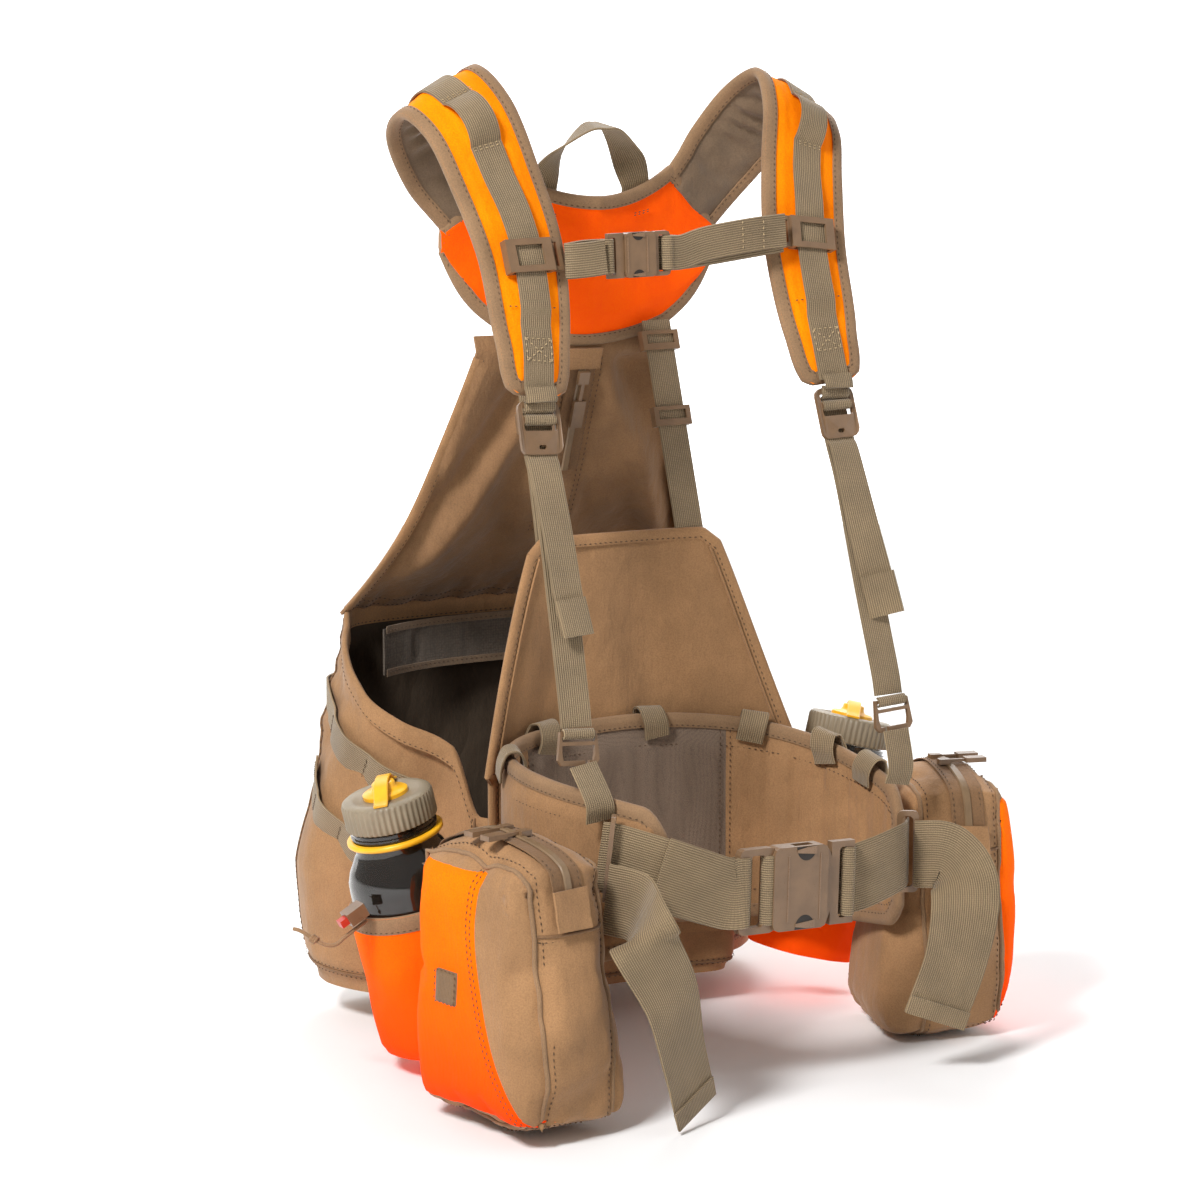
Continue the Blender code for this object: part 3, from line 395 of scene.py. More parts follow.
class Threads:
    """Collects stitches and makes them into one piece. A stitch is a small faceted grain of thread."""

    LENGTH, GAP, RADIUS = 0.0028, 0.0017, 0.00055

    def __init__(self):
        self.verts, self.faces = [], []

    def line(self, points, normals):
        """Stitches along a path of close points, lying on the surface whose normals are given."""
        run, at = 0.0, self.GAP
        for i in range(len(points) - 1):
            a, b = Vector(points[i]), Vector(points[i + 1])
            step = (b - a).length
            while step > 1e-7 and at <= run + step:
                centre = a.lerp(b, (at - run) / step)
                self.stitch(centre, (b - a).normalized(), normals[i])
                at += self.LENGTH + self.GAP
            run += step

    def stitch(self, centre, along, normal):
        side = along.cross(normal).normalized()
        start = len(self.verts)
        half, r = self.LENGTH / 2, self.RADIUS
        self.verts += [centre - along * half, centre + along * half]
        self.verts += [centre + side * r, centre + normal * r, centre - side * r, centre - normal * r]
        for j in range(4):
            a, b = start + 2 + j, start + 2 + (j + 1) % 4
            self.faces += [(start, b, a), (start + 1, a, b)]

    # By default the stitches are dark brown, painted shade of their needle holes
    def finish(self, name, material="shaded_stitches", body="harness"):
        return piece(name, self.verts, self.faces, M[material], body)


class Skin:
    """A smooth surface to build on: point(u, v), and out(u, v), the way its shown side faces."""

    STEP = 1e-3

    def __init__(self, point, facing=1, across=(-1, 1), along=(0, 1)):
        self.raw, self.facing, self.across, self.along = point, facing, across, along

    def point(self, u, v):
        return Vector(self.raw(u, v))

    def out(self, u, v):
        e = self.STEP
        du = self.point(min(u + e, self.across[1]), v) - self.point(max(u - e, self.across[0]), v)
        dv = self.point(u, min(v + e, self.along[1])) - self.point(u, max(v - e, self.along[0]))
        return self.facing * du.cross(dv).normalized()

    def on(self, u, v, lift=0.0):
        return self.point(u, v) + self.out(u, v) * lift

    def pad(self, name, nu, nv, front, back, materials, body="harness", stands_for=(), region=None):
        """A closed pad: front(u, v) and back(u, v) are how far its two faces stand off the surface.

        The first material is the front's, the second the back's. region(u, v) may pick another one in front.
        """
        verts, uvs = [], []
        (u0, u1), (v0, v1) = self.across, self.along
        width = (self.point(u1, (v0 + v1) / 2) - self.point(u0, (v0 + v1) / 2)).length
        height = (self.point((u0 + u1) / 2, v1) - self.point((u0 + u1) / 2, v0)).length
        for lift in (front, lambda u, v: -back(u, v)):
            for j in range(nv + 1):
                for i in range(nu + 1):
                    u, v = u0 + (u1 - u0) * i / nu, v0 + (v1 - v0) * j / nv
                    verts.append(self.on(u, v, lift(u, v)))
                    uvs.append((width * i / nu, height * j / nv))
        row, half = nu + 1, (nu + 1) * (nv + 1)
        faces = grid_faces(nu, nv)
        shown = len(faces)
        faces += [tuple(half + k for k in reversed(f)) for f in faces]
        rim = list(range(row)) + [j * row + nu for j in range(1, nv + 1)]
        rim += [nv * row + i for i in range(nu - 1, -1, -1)] + [j * row for j in range(nv - 1, 0, -1)]
        faces += [(a, half + a, half + b, b) for a, b in zip(rim, rim[1:] + rim[:1])]
        if self.facing < 0:
            faces = [tuple(reversed(f)) for f in faces]

        def which(index):
            if index >= shown:
                return 1
            if not region:
                return 0
            return region(u0 + (u1 - u0) * (index % nu + 0.5) / nu, v0 + (v1 - v0) * (index // nu + 0.5) / nv)

        return piece(name, verts, faces, [M[m] for m in materials], body, uvs, which, stands_for)

    def path(self, route, steps, lift=0.0):
        """(points, normals) along a route of (u, v) knots."""
        knots = [Vector(r) for r in route]
        if len(knots) > 2:
            spots = spline(knots, steps)
        else:
            spots = [knots[0].lerp(knots[1], i / steps) for i in range(steps + 1)]
        return [self.on(s[0], s[1], lift) for s in spots], [self.out(s[0], s[1]) for s in spots]

    def stitch(self, threads, route, lift, steps=60):
        threads.line(*self.path(route, steps, lift))

    def webbing(self, name, route, width, lift, steps=24, thickness=WEB, body="harness", fold=None, **more):
        """Webbing laid on the surface along a route of (u, v) knots."""
        points, normals = self.path(route, steps, 0.0)
        stations = []
        for i, (p, n) in enumerate(zip(points, normals)):
            along = (points[min(i + 1, steps)] - points[max(i - 1, 0)]).normalized()
            raised = lift + (fold(i / steps) if fold else 0.0)
            stations.append((p + n * raised, n.cross(along), width))
        return strap(name, stations, body, thickness, steps * 2, **more)


def edge_frames(skin, spots, inside):
    """(point, inward direction, normal) at each boundary spot (u, v); inside(u, v) is a spot further in."""
    points = [skin.point(*s) for s in spots]
    frames = []
    for i, s in enumerate(spots):
        along = (points[min(i + 1, len(spots) - 1)] - points[max(i - 1, 0)]).normalized()
        inward = skin.point(*inside(*s)) - points[i]
        inward = (inward - inward.dot(along) * along).normalized()
        frames.append((points[i], inward, skin.out(*s)))
    return frames


def binding(name, frames, half, threads=None, reach=BINDING, tape=0.0009, material="binding"):
    """A tape folded over an edge, with stitches along both faces. half is the pad's half thickness there."""
    fold = [(reach, half), (reach * 0.5, half), (0.0012, half * 0.75), (-0.0002, 0), (0.0012, -half * 0.75)]
    fold += [(reach * 0.5, -half), (reach, -half)]
    outer = [
        (reach, half + tape),
        (reach * 0.5, half + tape * 1.2),
        (0.0006, half + tape * 0.6),
        (-tape, half * 0.5),
    ]
    outer += [
        (-tape * 1.3, 0),
        (-tape, -half * 0.5),
        (0.0006, -half - tape * 0.6),
        (reach * 0.5, -half - tape * 1.2),
    ]
    outer += [(reach, -half - tape)]
    section = outer + fold[::-1]
    verts = [p + inward * x + normal * z for p, inward, normal in frames for x, z in section]
    piece(name, verts, sweep(len(frames), len(section)), M[material])
    if threads:
        for face in (1, -1):
            spots = [
                p + inward * (reach - 0.0016) + n * face * (half + tape * 1.15) for p, inward, n in frames
            ]
            threads.line(spots, [n * face for _, _, n in frames])


# ---------------------------------------------------------------- yoke and shoulder straps
SEAM_SHARE = 0.7  # of the yoke's half width, where its neckline ends and a shoulder seam starts


def yoke_point(u, v):
    away = abs(u)
    if away < SEAM_SHARE:
        share = away / SEAM_SHARE
        top = Vector((0.074 * share, 0, 0.480 + 0.0230 * share**2))
        low = Vector((0.073 * share, 0, 0.369 + 0.014 * share**2))
    else:
        share = (away - SEAM_SHARE) / (1 - SEAM_SHARE)
        top = Vector((0.074, 0, 0.503)).lerp(Vector((0.1195, 0, 0.4570)), share)
        low = Vector((0.073, 0, 0.383)).lerp(Vector((0.1195, 0, 0.4400)), share)
        low += Vector((0.004, 0, -0.006)) * math.sin(math.pi * share)
    p = low.lerp(top, v)
    y = 0.158 - 0.026 * v * (1 - away**0.9) + 0.004 * away**2
    return math.copysign(p.x, u), y, p.z


def harness_path(side):
    """Stations of a padded shoulder strap, from its seam with the yoke to its front tip."""
    inward = -side
    return [
        ((side * 0.0992, 0.1575, 0.4827), (inward * 0.69, -0.16, 0.70), 0.0630),
        ((side * 0.1210, 0.1560, 0.5090), (inward * 0.74, -0.08, 0.62), 0.0680),
        ((side * 0.1430, 0.1380, 0.5420), (inward * 0.84, 0.00, 0.53), 0.0710),
        ((side * 0.1490, 0.1020, 0.5570), (inward * 0.88, 0.00, 0.48), 0.0720),
        ((side * 0.1410, 0.0730, 0.5370), (inward * 0.92, 0.00, 0.36), 0.0710),
        ((side * 0.1305, 0.0560, 0.4980), (inward * 0.97, 0.00, 0.16), 0.0700),
        ((side * 0.1205, 0.0360, 0.4450), (inward * 1.00, 0.02, 0.02), 0.0680),
        ((side * 0.1215, 0.0170, 0.3850), (inward * 1.00, 0.06, -0.04), 0.0600),
        ((side * 0.1250, 0.0055, 0.3460), (inward * 1.00, 0.08, -0.04), 0.0370),
    ]


def crowned(edge, thin=0.52):
    """Half the padding's thickness at a distance in from its edge: it rises beyond the binding."""
    return PAD * (thin + (1 - thin) * inner_part(edge))


def inner_part(edge):
    return smooth_step(edge, BINDING + 0.0005, BINDING + 0.0135)


def make_yoke():
    skin = Skin(yoke_point, facing=1)

    def edge_of(v):
        return min(v * 0.10, (1 - v) * 0.10)

    def half(u, v):
        return crowned(edge_of(v)) * (1 - 0.25 * smooth_step(abs(u), 0.93, 1.0))

    def front(u, v):
        return half(u, v) + ripple(skin.point(u, v), (26, 10, 50), 0.0016, 3.1) * inner_part(edge_of(v))

    pad = skin.pad("yoke", 72, 40, front, half, ["orange_yoke_shaded", "tan"], stands_for=["yoke_pad"])
    threads = Threads()
    for v, inwards in ((0, 0.04), (1, -0.04)):
        spots = [(-1 + 2 * i / 90, v) for i in range(91)]
        frames = edge_frames(skin, spots, lambda u, w: (u, w + inwards))
        binding(f"yoke_binding_{'low' if v == 0 else 'top'}", frames, PAD * 0.58, threads)
    for side in (-1, 1):
        for u in (0.985, 0.955):
            skin.stitch(threads, [(side * u, 0.02), (side * u, 0.98)], PAD * 0.72, 40)
        for v in (0.86, 0.845):
            skin.stitch(threads, [(side * 0.30, v), (side * 0.47, v - 0.02)], PAD + 0.0006, 14)
    threads.finish("yoke_stitches")


def make_handle():
    half = [
        ((0.0405, 0.1500, 0.4790), (1.00, 0.10, -0.10), NARROW),
        ((0.0395, 0.1478, 0.4920), (1.00, 0.05, -0.25), NARROW),
        ((0.0290, 0.1440, 0.5130), (0.80, -0.50, -0.30), NARROW),
        ((0.0115, 0.1350, 0.5310), (0.30, -0.92, -0.20), NARROW),
        ((0.0000, 0.1320, 0.5330), (0.00, -0.97, -0.20), NARROW),
    ]
    other = [((-p[0], p[1], p[2]), (-w[0], w[1], w[2]), size) for p, w, size in half[-2::-1]]
    strap("carry_handle", half + other, stands_for=["grab_handle"])


DAISY_FROM, DAISY_TO = 0.25, 0.995  # shares of the strap's path
LOOP = (0.45, 0.565)  # where the webbing stands off as a loop
DAISY_SEWN, DAISY_FREE = 0.0064, 0.0094  # its height off the strap's middle


def make_harness_side(name, side):
    knots = [Vector((*p, *w, width)) for p, w, width in harness_path(side)]
    under_yoke = Vector((-side * 0.0075, 0.0004, -0.0080))

    def row_at(v):
        row = curve_at(knots, v)
        tuck = 1 - smooth_step(v, 0, 0.05)
        row[0] += under_yoke.x * tuck
        row[2] += under_yoke.z * tuck
        row[6] += 0.008 * smooth_step(v, 0.88, 0.97) - 0.010 * smooth_step(v, 0.985, 1.0)
        return row

    def point(u, v):
        row = row_at(v)
        along = Vector(row_at(min(v + 0.004, 1))[:3]) - Vector(row_at(max(v - 0.004, 0))[:3])
        along.normalize()
        across = Vector(row[3:6])
        across = (across - across.dot(along) * along).normalized()
        return Vector(row[:3]) + across * (u * row[6] / 2)

    skin = Skin(point, facing=side)

    def edge_of(u, v):
        return min((1 - abs(u)) * 0.034, (1 - v) * 0.55)

    def front(u, v):
        edge = edge_of(u, v)
        gutter = 0.0010 * bell(abs(u), 0.42, 0.07) * smooth_step(v, 0.22, 0.30)
        soft = ripple(skin.point(u, v), (60, 30, 34), 0.0010, 5.0) - gutter
        return crowned(edge) + soft * inner_part(edge)

    def back(u, v):
        edge = edge_of(u, v)
        crease = 0.0022 * math.sin(v * 120 + 2.2 * u + 5 * noise.noise(Vector((v * 9, u, 0)))) * bell(
            v, 0.28, 0.20
        )
        return crowned(edge) + (
            crease + ripple(skin.point(u, v), (50, 50, 50), 0.0012, 9.0)
        ) * inner_part(edge)

    pad = skin.pad(
        f"strap_{name}", 28, 150, front, back, ["orange_strap_lit", "lining"], stands_for=[
            f"shoulder_strap_{name}"
        ]
    )
    threads = Threads()
    rim = [(-1, i / 150) for i in range(150)] + [(-0.9 + 0.9 * i / 8, 1) for i in range(17)]
    rim += [(1, i / 150) for i in range(149, -1, -1)]
    frames = edge_frames(skin, rim, lambda u, v: (u * 0.9, min(v, 0.985)))
    binding(f"strap_binding_{name}", frames, PAD * 0.56, threads, reach=0.0090)

    def height(share):
        v = DAISY_FROM + (DAISY_TO - DAISY_FROM) * share
        free = smooth_step(v, 0.62, 0.70) * (1 - smooth_step(v, 0.83, 0.86))
        bow = 0.0085 * math.sin(math.pi * max(0.0, min(1.0, (v - LOOP[0]) / (LOOP[1] - LOOP[0])))) ** 0.7
        return (DAISY_FREE - DAISY_SEWN) * free + bow - 0.0016 * smooth_step(v, 0.90, 0.99)

    route = [(0, DAISY_FROM), (0, DAISY_TO)]
    skin.webbing(
        f"daisy_chain_{name}", route, NARROW, DAISY_SEWN, 160, fold=height, stands_for=[
            f"daisy_webbing_{name}"
        ]
    )
    tacks = Threads()
    for v in (DAISY_FROM + 0.008, LOOP[0] - 0.010, LOOP[0] - 0.004, LOOP[1] + 0.004, LOOP[1] + 0.010):
        skin.stitch(tacks, [(-0.34, v), (0.34, v)], DAISY_SEWN + WEB * 0.8, 12)
    stitch_box(skin, tacks, 0.880, 0.925, 0.36, DAISY_SEWN + WEB * 0.8)
    tacks.finish(f"daisy_stitches_{name}", "thread")
    skin.stitch(threads, [(-0.62, 0.83), (0.62, 0.83)], PAD + 0.0004, 20)
    threads.finish(f"strap_stitches_{name}")


def stitch_box(skin, threads, v0, v1, half, lift):
    """A sewn box with a cross in it."""
    corners = [(-half, v0), (half, v0), (half, v1), (-half, v1)]
    for a, b in zip(corners, corners[1:] + corners[:1]):
        skin.stitch(threads, [a, b], lift, 10)
    skin.stitch(threads, [corners[0], corners[2]], lift, 10)
    skin.stitch(threads, [corners[1], corners[3]], lift, 10)


# ---------------------------------------------------------------- webbing of the harness
def frame_at(origin, along, across):
    """A placement whose local X runs along, Y across and Z out of both."""
    x = Vector(along).normalized()
    z = x.cross(Vector(across)).normalized()
    y = z.cross(x)
    return Matrix.Translation(Vector(origin)) @ Matrix((x, y, z)).transposed().to_4x4()


def bar_wrap(name, place, at, width, radius, body, lift=0.0, turn=(-100, 100)):
    """Webbing round a bar that stands along local Y at local x = at. 0 degrees is the front, +Z."""
    stations = []
    for i in range(9):
        angle = math.radians(turn[0] + (turn[1] - turn[0]) * i / 8)
        spot = Vector((at + radius * math.sin(angle), 0, lift + radius * math.cos(angle)))
        stations.append((place @ spot, place.to_3x3() @ Y, width))
    return strap(name, stations, body, steps=20)


TAIL_START = [(0.0035, 0, -0.0034), (0.0195, 0, -0.0036), (0.0300, 0, -0.0010)]  # in the ladder lock's frame
TAIL_END = {  # centre and width direction
    "right": [
        ((-0.1268, -0.0292, 0.2500), (1, 0.06, 0)),
        ((-0.1262, -0.0430, 0.2080), (1, 0.10, 0)),
        ((-0.1240, -0.0515, 0.1830), (1, 0.12, 0.05)),
    ],
    "left": [
        ((0.1282, -0.0292, 0.2500), (1, -0.2, 0)),
        ((0.1325, -0.0430, 0.2080), (1, -0.4, -0.05)),
        ((0.1365, -0.0510, 0.1780), (1, -0.6, -0.1)),
    ],
}


def make_adjuster(name, side):
    """The webbing from the ladder lock to the belt hook, and its free end in front."""
    lock = frame_at((side * 0.1255, -0.0015, 0.3235), (side * 0.004, -0.034, -0.094), (1, 0, 0))
    over = [(side * 0.1252, -0.0012, 0.3520), (side * 0.1254, -0.0045, 0.3425)]
    over += [
        lock @ Vector((-0.0185, 0, 0.0046)),
        lock @ Vector((-0.0125, 0, 0.0038)),
        lock @ Vector((-0.0105, 0, -0.002)),
    ]
    strap(f"lock_loop_{name}", [(p, X, NARROW) for p in over])
    main = [
        (lock @ Vector((-0.0045, 0, -0.0050)), X, NARROW),
        (lock @ Vector((0.0200, 0, -0.0058)), X, NARROW),
        ((side * 0.1262, -0.0180, 0.2700), X, NARROW),
        ((side * 0.1285, -0.0400, 0.1980), X, NARROW),
        ((side * 0.1310, -0.0580, 0.1400), X, NARROW),
        ((side * 0.1316, -0.0628, 0.1205), X, NARROW),
    ]
    strap(f"adjuster_{name}", main, stands_for=[f"adjuster_webbing_{name}"])
    bar_wrap(f"lock_web_low_{name}", lock, -0.0057, NARROW, 0.0030, f"ladder_lock_{name}")
    tail = [(lock @ Vector(p), X, NARROW) for p in TAIL_START]
    tail += [(p, across, NARROW) for p, across in TAIL_END[name]]
    fold = [(Vector(p) + Vector((0, -0.0028, 0)), w, size * 1.02) for p, w, size in tail[-2:]]
    strap(f"adjuster_tail_{name}", tail)
    strap(f"adjuster_fold_{name}", fold, thickness=0.0026, lift=0.0)


def make_hook_webbing(name, side):
    top = (side * 0.1320, -0.0655, 0.1145)
    hook = frame_at(top, (side * 0.006, -0.014, -0.094), (side, 0, 0))
    face = 1 if hook.to_3x3().col[2].y < 0 else -1
    turn = (-90, 100) if face > 0 else (80, 270)
    bar_wrap(f"hook_web_{name}", hook, -0.0020, NARROW, 0.0030, f"g_hook_{name}", turn=turn)
    foot = (side * 0.1330, -0.0780, 0.0700) if side > 0 else (side * 0.1275, -0.0875, 0.0722)
    stations = [
        ((side * 0.1318, -0.0728, 0.0960), X, NARROW * 0.9),
        (foot, X, NARROW * 0.9),
        (Vector(foot) + Vector((-side * 0.002, 0.002, -0.014)), X, NARROW * 0.9),
    ]
    strap(f"hook_strap_{name}", stations, stands_for=[f"hook_loop_{name}"])


def make_sternum_strap():
    place = frame_at((-0.0470, 0.0185, 0.4415), (1, 0, 0.035), Z)
    upright = place.to_3x3() @ Y
    behind = 0.0019 + WEB / 2 + 0.0005
    right = [(-0.0922, 0.0203, 0.4385)] + [
        place @ Vector((x, 0, -behind)) for x in (-0.0300, -0.0180, -0.0075)
    ]
    right = [(p, upright, NARROW) for p in right]
    strap("sternum_web_right", right, "sternum_strap", stands_for=["sternum_webbing_right"])
    over = [(-0.0950, 0.0165, 0.4382), (-0.0900, 0.0132, 0.4385), (-0.0760, 0.0130, 0.4395)]
    over += [place @ Vector((-0.0170, 0, 0.0054))]
    strap("sternum_web_right_front", [(p, upright, NARROW) for p in over], "sternum_strap")
    bar_wrap("sternum_plug_web", place, -0.0117, NARROW, 0.0033, "sternum_plug")
    behind = 0.0025 + WEB / 2 + 0.0005
    left = [place @ Vector((x, 0, -behind)) for x in (0.0300, 0.0420, 0.0600)] + [(0.0915, 0.0235, 0.4535)]
    left = [(p, upright, NARROW) for p in left]
    strap("sternum_web_left", left, "sternum_strap", stands_for=["sternum_webbing_left"])
    over = [place @ Vector((0.0375, 0, 0.0030)), place @ Vector((0.0500, 0, 0.0005))]
    over += [(0.0250, 0.0188, 0.4490), (0.0640, 0.0190, 0.4545), (0.0930, 0.0210, 0.4570)]
    strap("sternum_web_left_front", [(p, upright, NARROW) for p in over], "sternum_strap")
    bar_wrap("sternum_socket_web", place, 0.0372, NARROW, 0.0040, "sternum_strap", turn=(-90, 90))
    buckle_face("sternum_buckle", place, 0.0110, 0.0158, 0.0050, 0.0043, "sternum_strap")
    threads = Threads()
    for x in (-0.082, -0.071):
        threads.line(*upright_line((x, 0.0152, 0.4392), upright, 0.010))
    for x in (0.054, 0.072):
        threads.line(*upright_line((x, 0.0174, 0.4540), upright, 0.010))
    threads.finish("sternum_stitches", "thread", "sternum_strap")


def upright_line(centre, direction, half):
    """Points and normals of a short line of stitches that faces forward."""
    points = [Vector(centre) + direction * half * (i / 6 - 1) for i in range(13)]
    return points, [-Y] * 13


TORSO_TOP = Vector((0.0570, 0.1455, 0.3860))
TORSO_LOW = Vector((0.0605, 0.1020, 0.2325))


def make_torso_strap(name, side):
    top = Vector((side * TORSO_TOP.x, TORSO_TOP.y, TORSO_TOP.z))
    low = Vector((side * TORSO_LOW.x, TORSO_LOW.y, TORSO_LOW.z))
    knots = [top, top.lerp(low, 0.35), top.lerp(low, 0.7), low, low + Vector((0, -0.0012, -0.010))]
    strap(f"torso_web_{name}", [(p, X, NARROW) for p in knots], stands_for=[f"torso_strap_{name}"])


# ---------------------------------------------------------------- bib and hip belt
def bib_point(u, v):
    z = -0.085 + 0.315 * v
    half = 0.130 if z < 0.06 else 0.136 - 0.053 * (z - 0.06) / 0.17
    x = u * half
    top_round = 0.010 * max(0.0, abs(u) - 0.85) / 0.15 * v**8
    return x, 0.104 - 0.042 * (abs(x) / 0.136) ** 2.8, z - top_round


def make_bib():
    skin = Skin(bib_point)

    def sag(u, v):
        fold = 0.0036 * math.sin(9 * u + 2.0 * v + 2.5 * noise.noise(Vector((u, v * 2, 0.5))))
        return fold * (1 - abs(u) ** 4) * math.sin(math.pi * min(1, v * 1.1))

    def front(u, v):
        return 0.0013 + sag(u, v) + ripple(skin.point(u, v), (22, 22, 7), 0.0022, 1.7)

    def back(u, v):
        return 0.0013 - sag(u, v) - ripple(skin.point(u, v), (22, 22, 7), 0.0022, 1.7)

    bib = skin.pad("bib", 60, 60, front, back, ["tan", "tan"], stands_for=["back_bib"])
    threads = Threads()
    for name, side in SIDES.items():
        spots = [(side, 0.35 + 0.65 * i / 60) for i in range(61)]
        frames = edge_frames(skin, spots, lambda u, v: (u * 0.9, v))
        binding(f"bib_hem_{name}", frames, 0.0018, threads, reach=0.0070, material="tan")
        piping = [p + n * 0.0030 + inward * 0.009 for p, inward, n in frames]
        tube(f"bib_piping_{name}", piping, 0.0010, "tan")
    spots = [(-1 + 2 * i / 60, 1) for i in range(61)]
    frames = edge_frames(skin, spots, lambda u, v: (u, 0.97))
    binding("bib_hem_top", frames, 0.0020, threads, reach=0.0080, material="tan")
    threads.finish("bib_stitches")


BELT_LEFT = [(0.055, 0.088), (0.100, 0.072), (0.128, 0.042), (0.142, 0.005), (0.145, -0.037), (0.140, -0.070)]
BELT_RIGHT = [
    (-0.055, 0.088),
    (-0.100, 0.072),
    (-0.128, 0.042),
    (-0.138, 0.005),
    (-0.134, -0.035),
    (-0.119, -0.072),
    (-0.102, -0.094),
    (-0.085, -0.107),
]
BELT_KNOTS = [Vector((*p, 0)) for p in BELT_RIGHT[::-1] + [(0, 0.092)] + BELT_LEFT]
BELT_HALF = 0.0055
GRIP = (0.43, 0.68)  # shares of the belt's length between which its inner face has the grip fabric


def belt_point(share, v):
    centre = len(BELT_RIGHT) / (len(BELT_RIGHT) + len(BELT_LEFT))
    if share < centre:
        away = (centre - share) / centre
        low, high = -0.072 + 0.050 * away**2.2, 0.092 - 0.030 * away**1.5
    else:
        away = (share - centre) / (1 - centre)
        low, high = -0.072 + 0.020 * away**2.2, 0.092 - 0.048 * away**1.5
    tip = max(0.0, away - 0.90) / 0.10
    low += 0.014 * tip**2
    high -= 0.016 * tip**2
    p = curve_at(BELT_KNOTS, share)
    return p.x, p.y, low + (high - low) * v


def make_belt():
    skin = Skin(belt_point, facing=1, across=(0, 1))

    def edge_of(share, v):
        return min(share * 0.55, (1 - share) * 0.55, v * 0.15, (1 - v) * 0.15)

    def half(share, v):
        return BELT_HALF * (0.5 + 0.5 * inner_part(edge_of(share, v)))

    def inner(share, v):
        pleats = sum(bell(share, at, 0.006) for at in (0.30, 0.345, 0.39, 0.735, 0.775, 0.82, 0.865))
        seams = bell(share, GRIP[0], 0.003) + bell(share, GRIP[1], 0.003)
        sway = ripple(skin.point(share, v), (60, 60, 14), 0.0026, 7.7)
        shape = sway - 0.0026 * pleats * (0.4 + 0.6 * v) - 0.0020 * seams
        return half(share, v) + shape * inner_part(edge_of(share, v))

    def outer(share, v):
        return half(share, v) + ripple(skin.point(share, v), (24, 24, 24), 0.0016, 2.2) * inner_part(
            edge_of(share, v)
        )

    def region(share, v):
        return 2 if GRIP[0] < share < GRIP[1] else 0

    pad = skin.pad(
        "hip_belt", 220, 30, inner, outer, ["tan", "tan", "grip"], stands_for=["lumbar_pad"], region=region
    )
    threads = Threads()
    rim = [(i / 200, 0) for i in range(200)] + [(1, i / 24) for i in range(24)]
    rim += [(1 - i / 200, 1) for i in range(200)] + [(0, 1 - i / 24) for i in range(24)]
    frames = edge_frames(skin, rim, lambda share, v: (0.5 + (share - 0.5) * 0.97, 0.5 + (v - 0.5) * 0.86))
    binding("belt_binding", frames, BELT_HALF * 0.53, threads, reach=0.0095)
    for share in (GRIP[0] - 0.006, GRIP[0] + 0.006, GRIP[1] - 0.006, GRIP[1] + 0.006):
        skin.stitch(threads, [(share, 0.06), (share, 0.94)], BELT_HALF + 0.0004, 40)
    for v in (0.14, 0.86):
        skin.stitch(threads, [(0.30, v), (0.98, v)], BELT_HALF * 0.93, 300)
    outside = Skin(belt_point, facing=-1, across=(0, 1))
    for v in (0.16, 0.84):
        outside.stitch(threads, [(0.02, v), (0.34, v)], BELT_HALF * 0.93, 160)
    threads.finish("belt_stitches")
    for k, share in enumerate((0.335, 0.46, 0.60, 0.71, 0.83, 0.90)):
        belt_loop(skin, k, share)


def belt_loop(skin, index, share):
    """A folded loop of webbing that stands on the belt's top edge."""
    top = skin.point(share, 0.93)
    along = (skin.point(share + 0.01, 0.93) - skin.point(share - 0.01, 0.93)).normalized()
    out = skin.out(share, 0.93)
    lean = along * (0.005 if index % 2 else -0.004)
    stations = [
        (top + out * 0.0078 - Z * 0.005, along, NARROW * 0.84),
        (top + out * 0.0094 + Z * 0.007 + lean * 0.5, along, NARROW * 0.84),
        (top + out * 0.0046 + Z * 0.0165 + lean, along, NARROW * 0.84),
        (top - out * 0.0035 + Z * 0.0160 + lean, along, NARROW * 0.84),
        (top - out * 0.0078 + Z * 0.006 + lean * 0.5, along, NARROW * 0.84),
        (top - out * 0.0085 - Z * 0.005, along, NARROW * 0.84),
    ]
    strap(f"belt_loop_{index}", stations, steps=26)


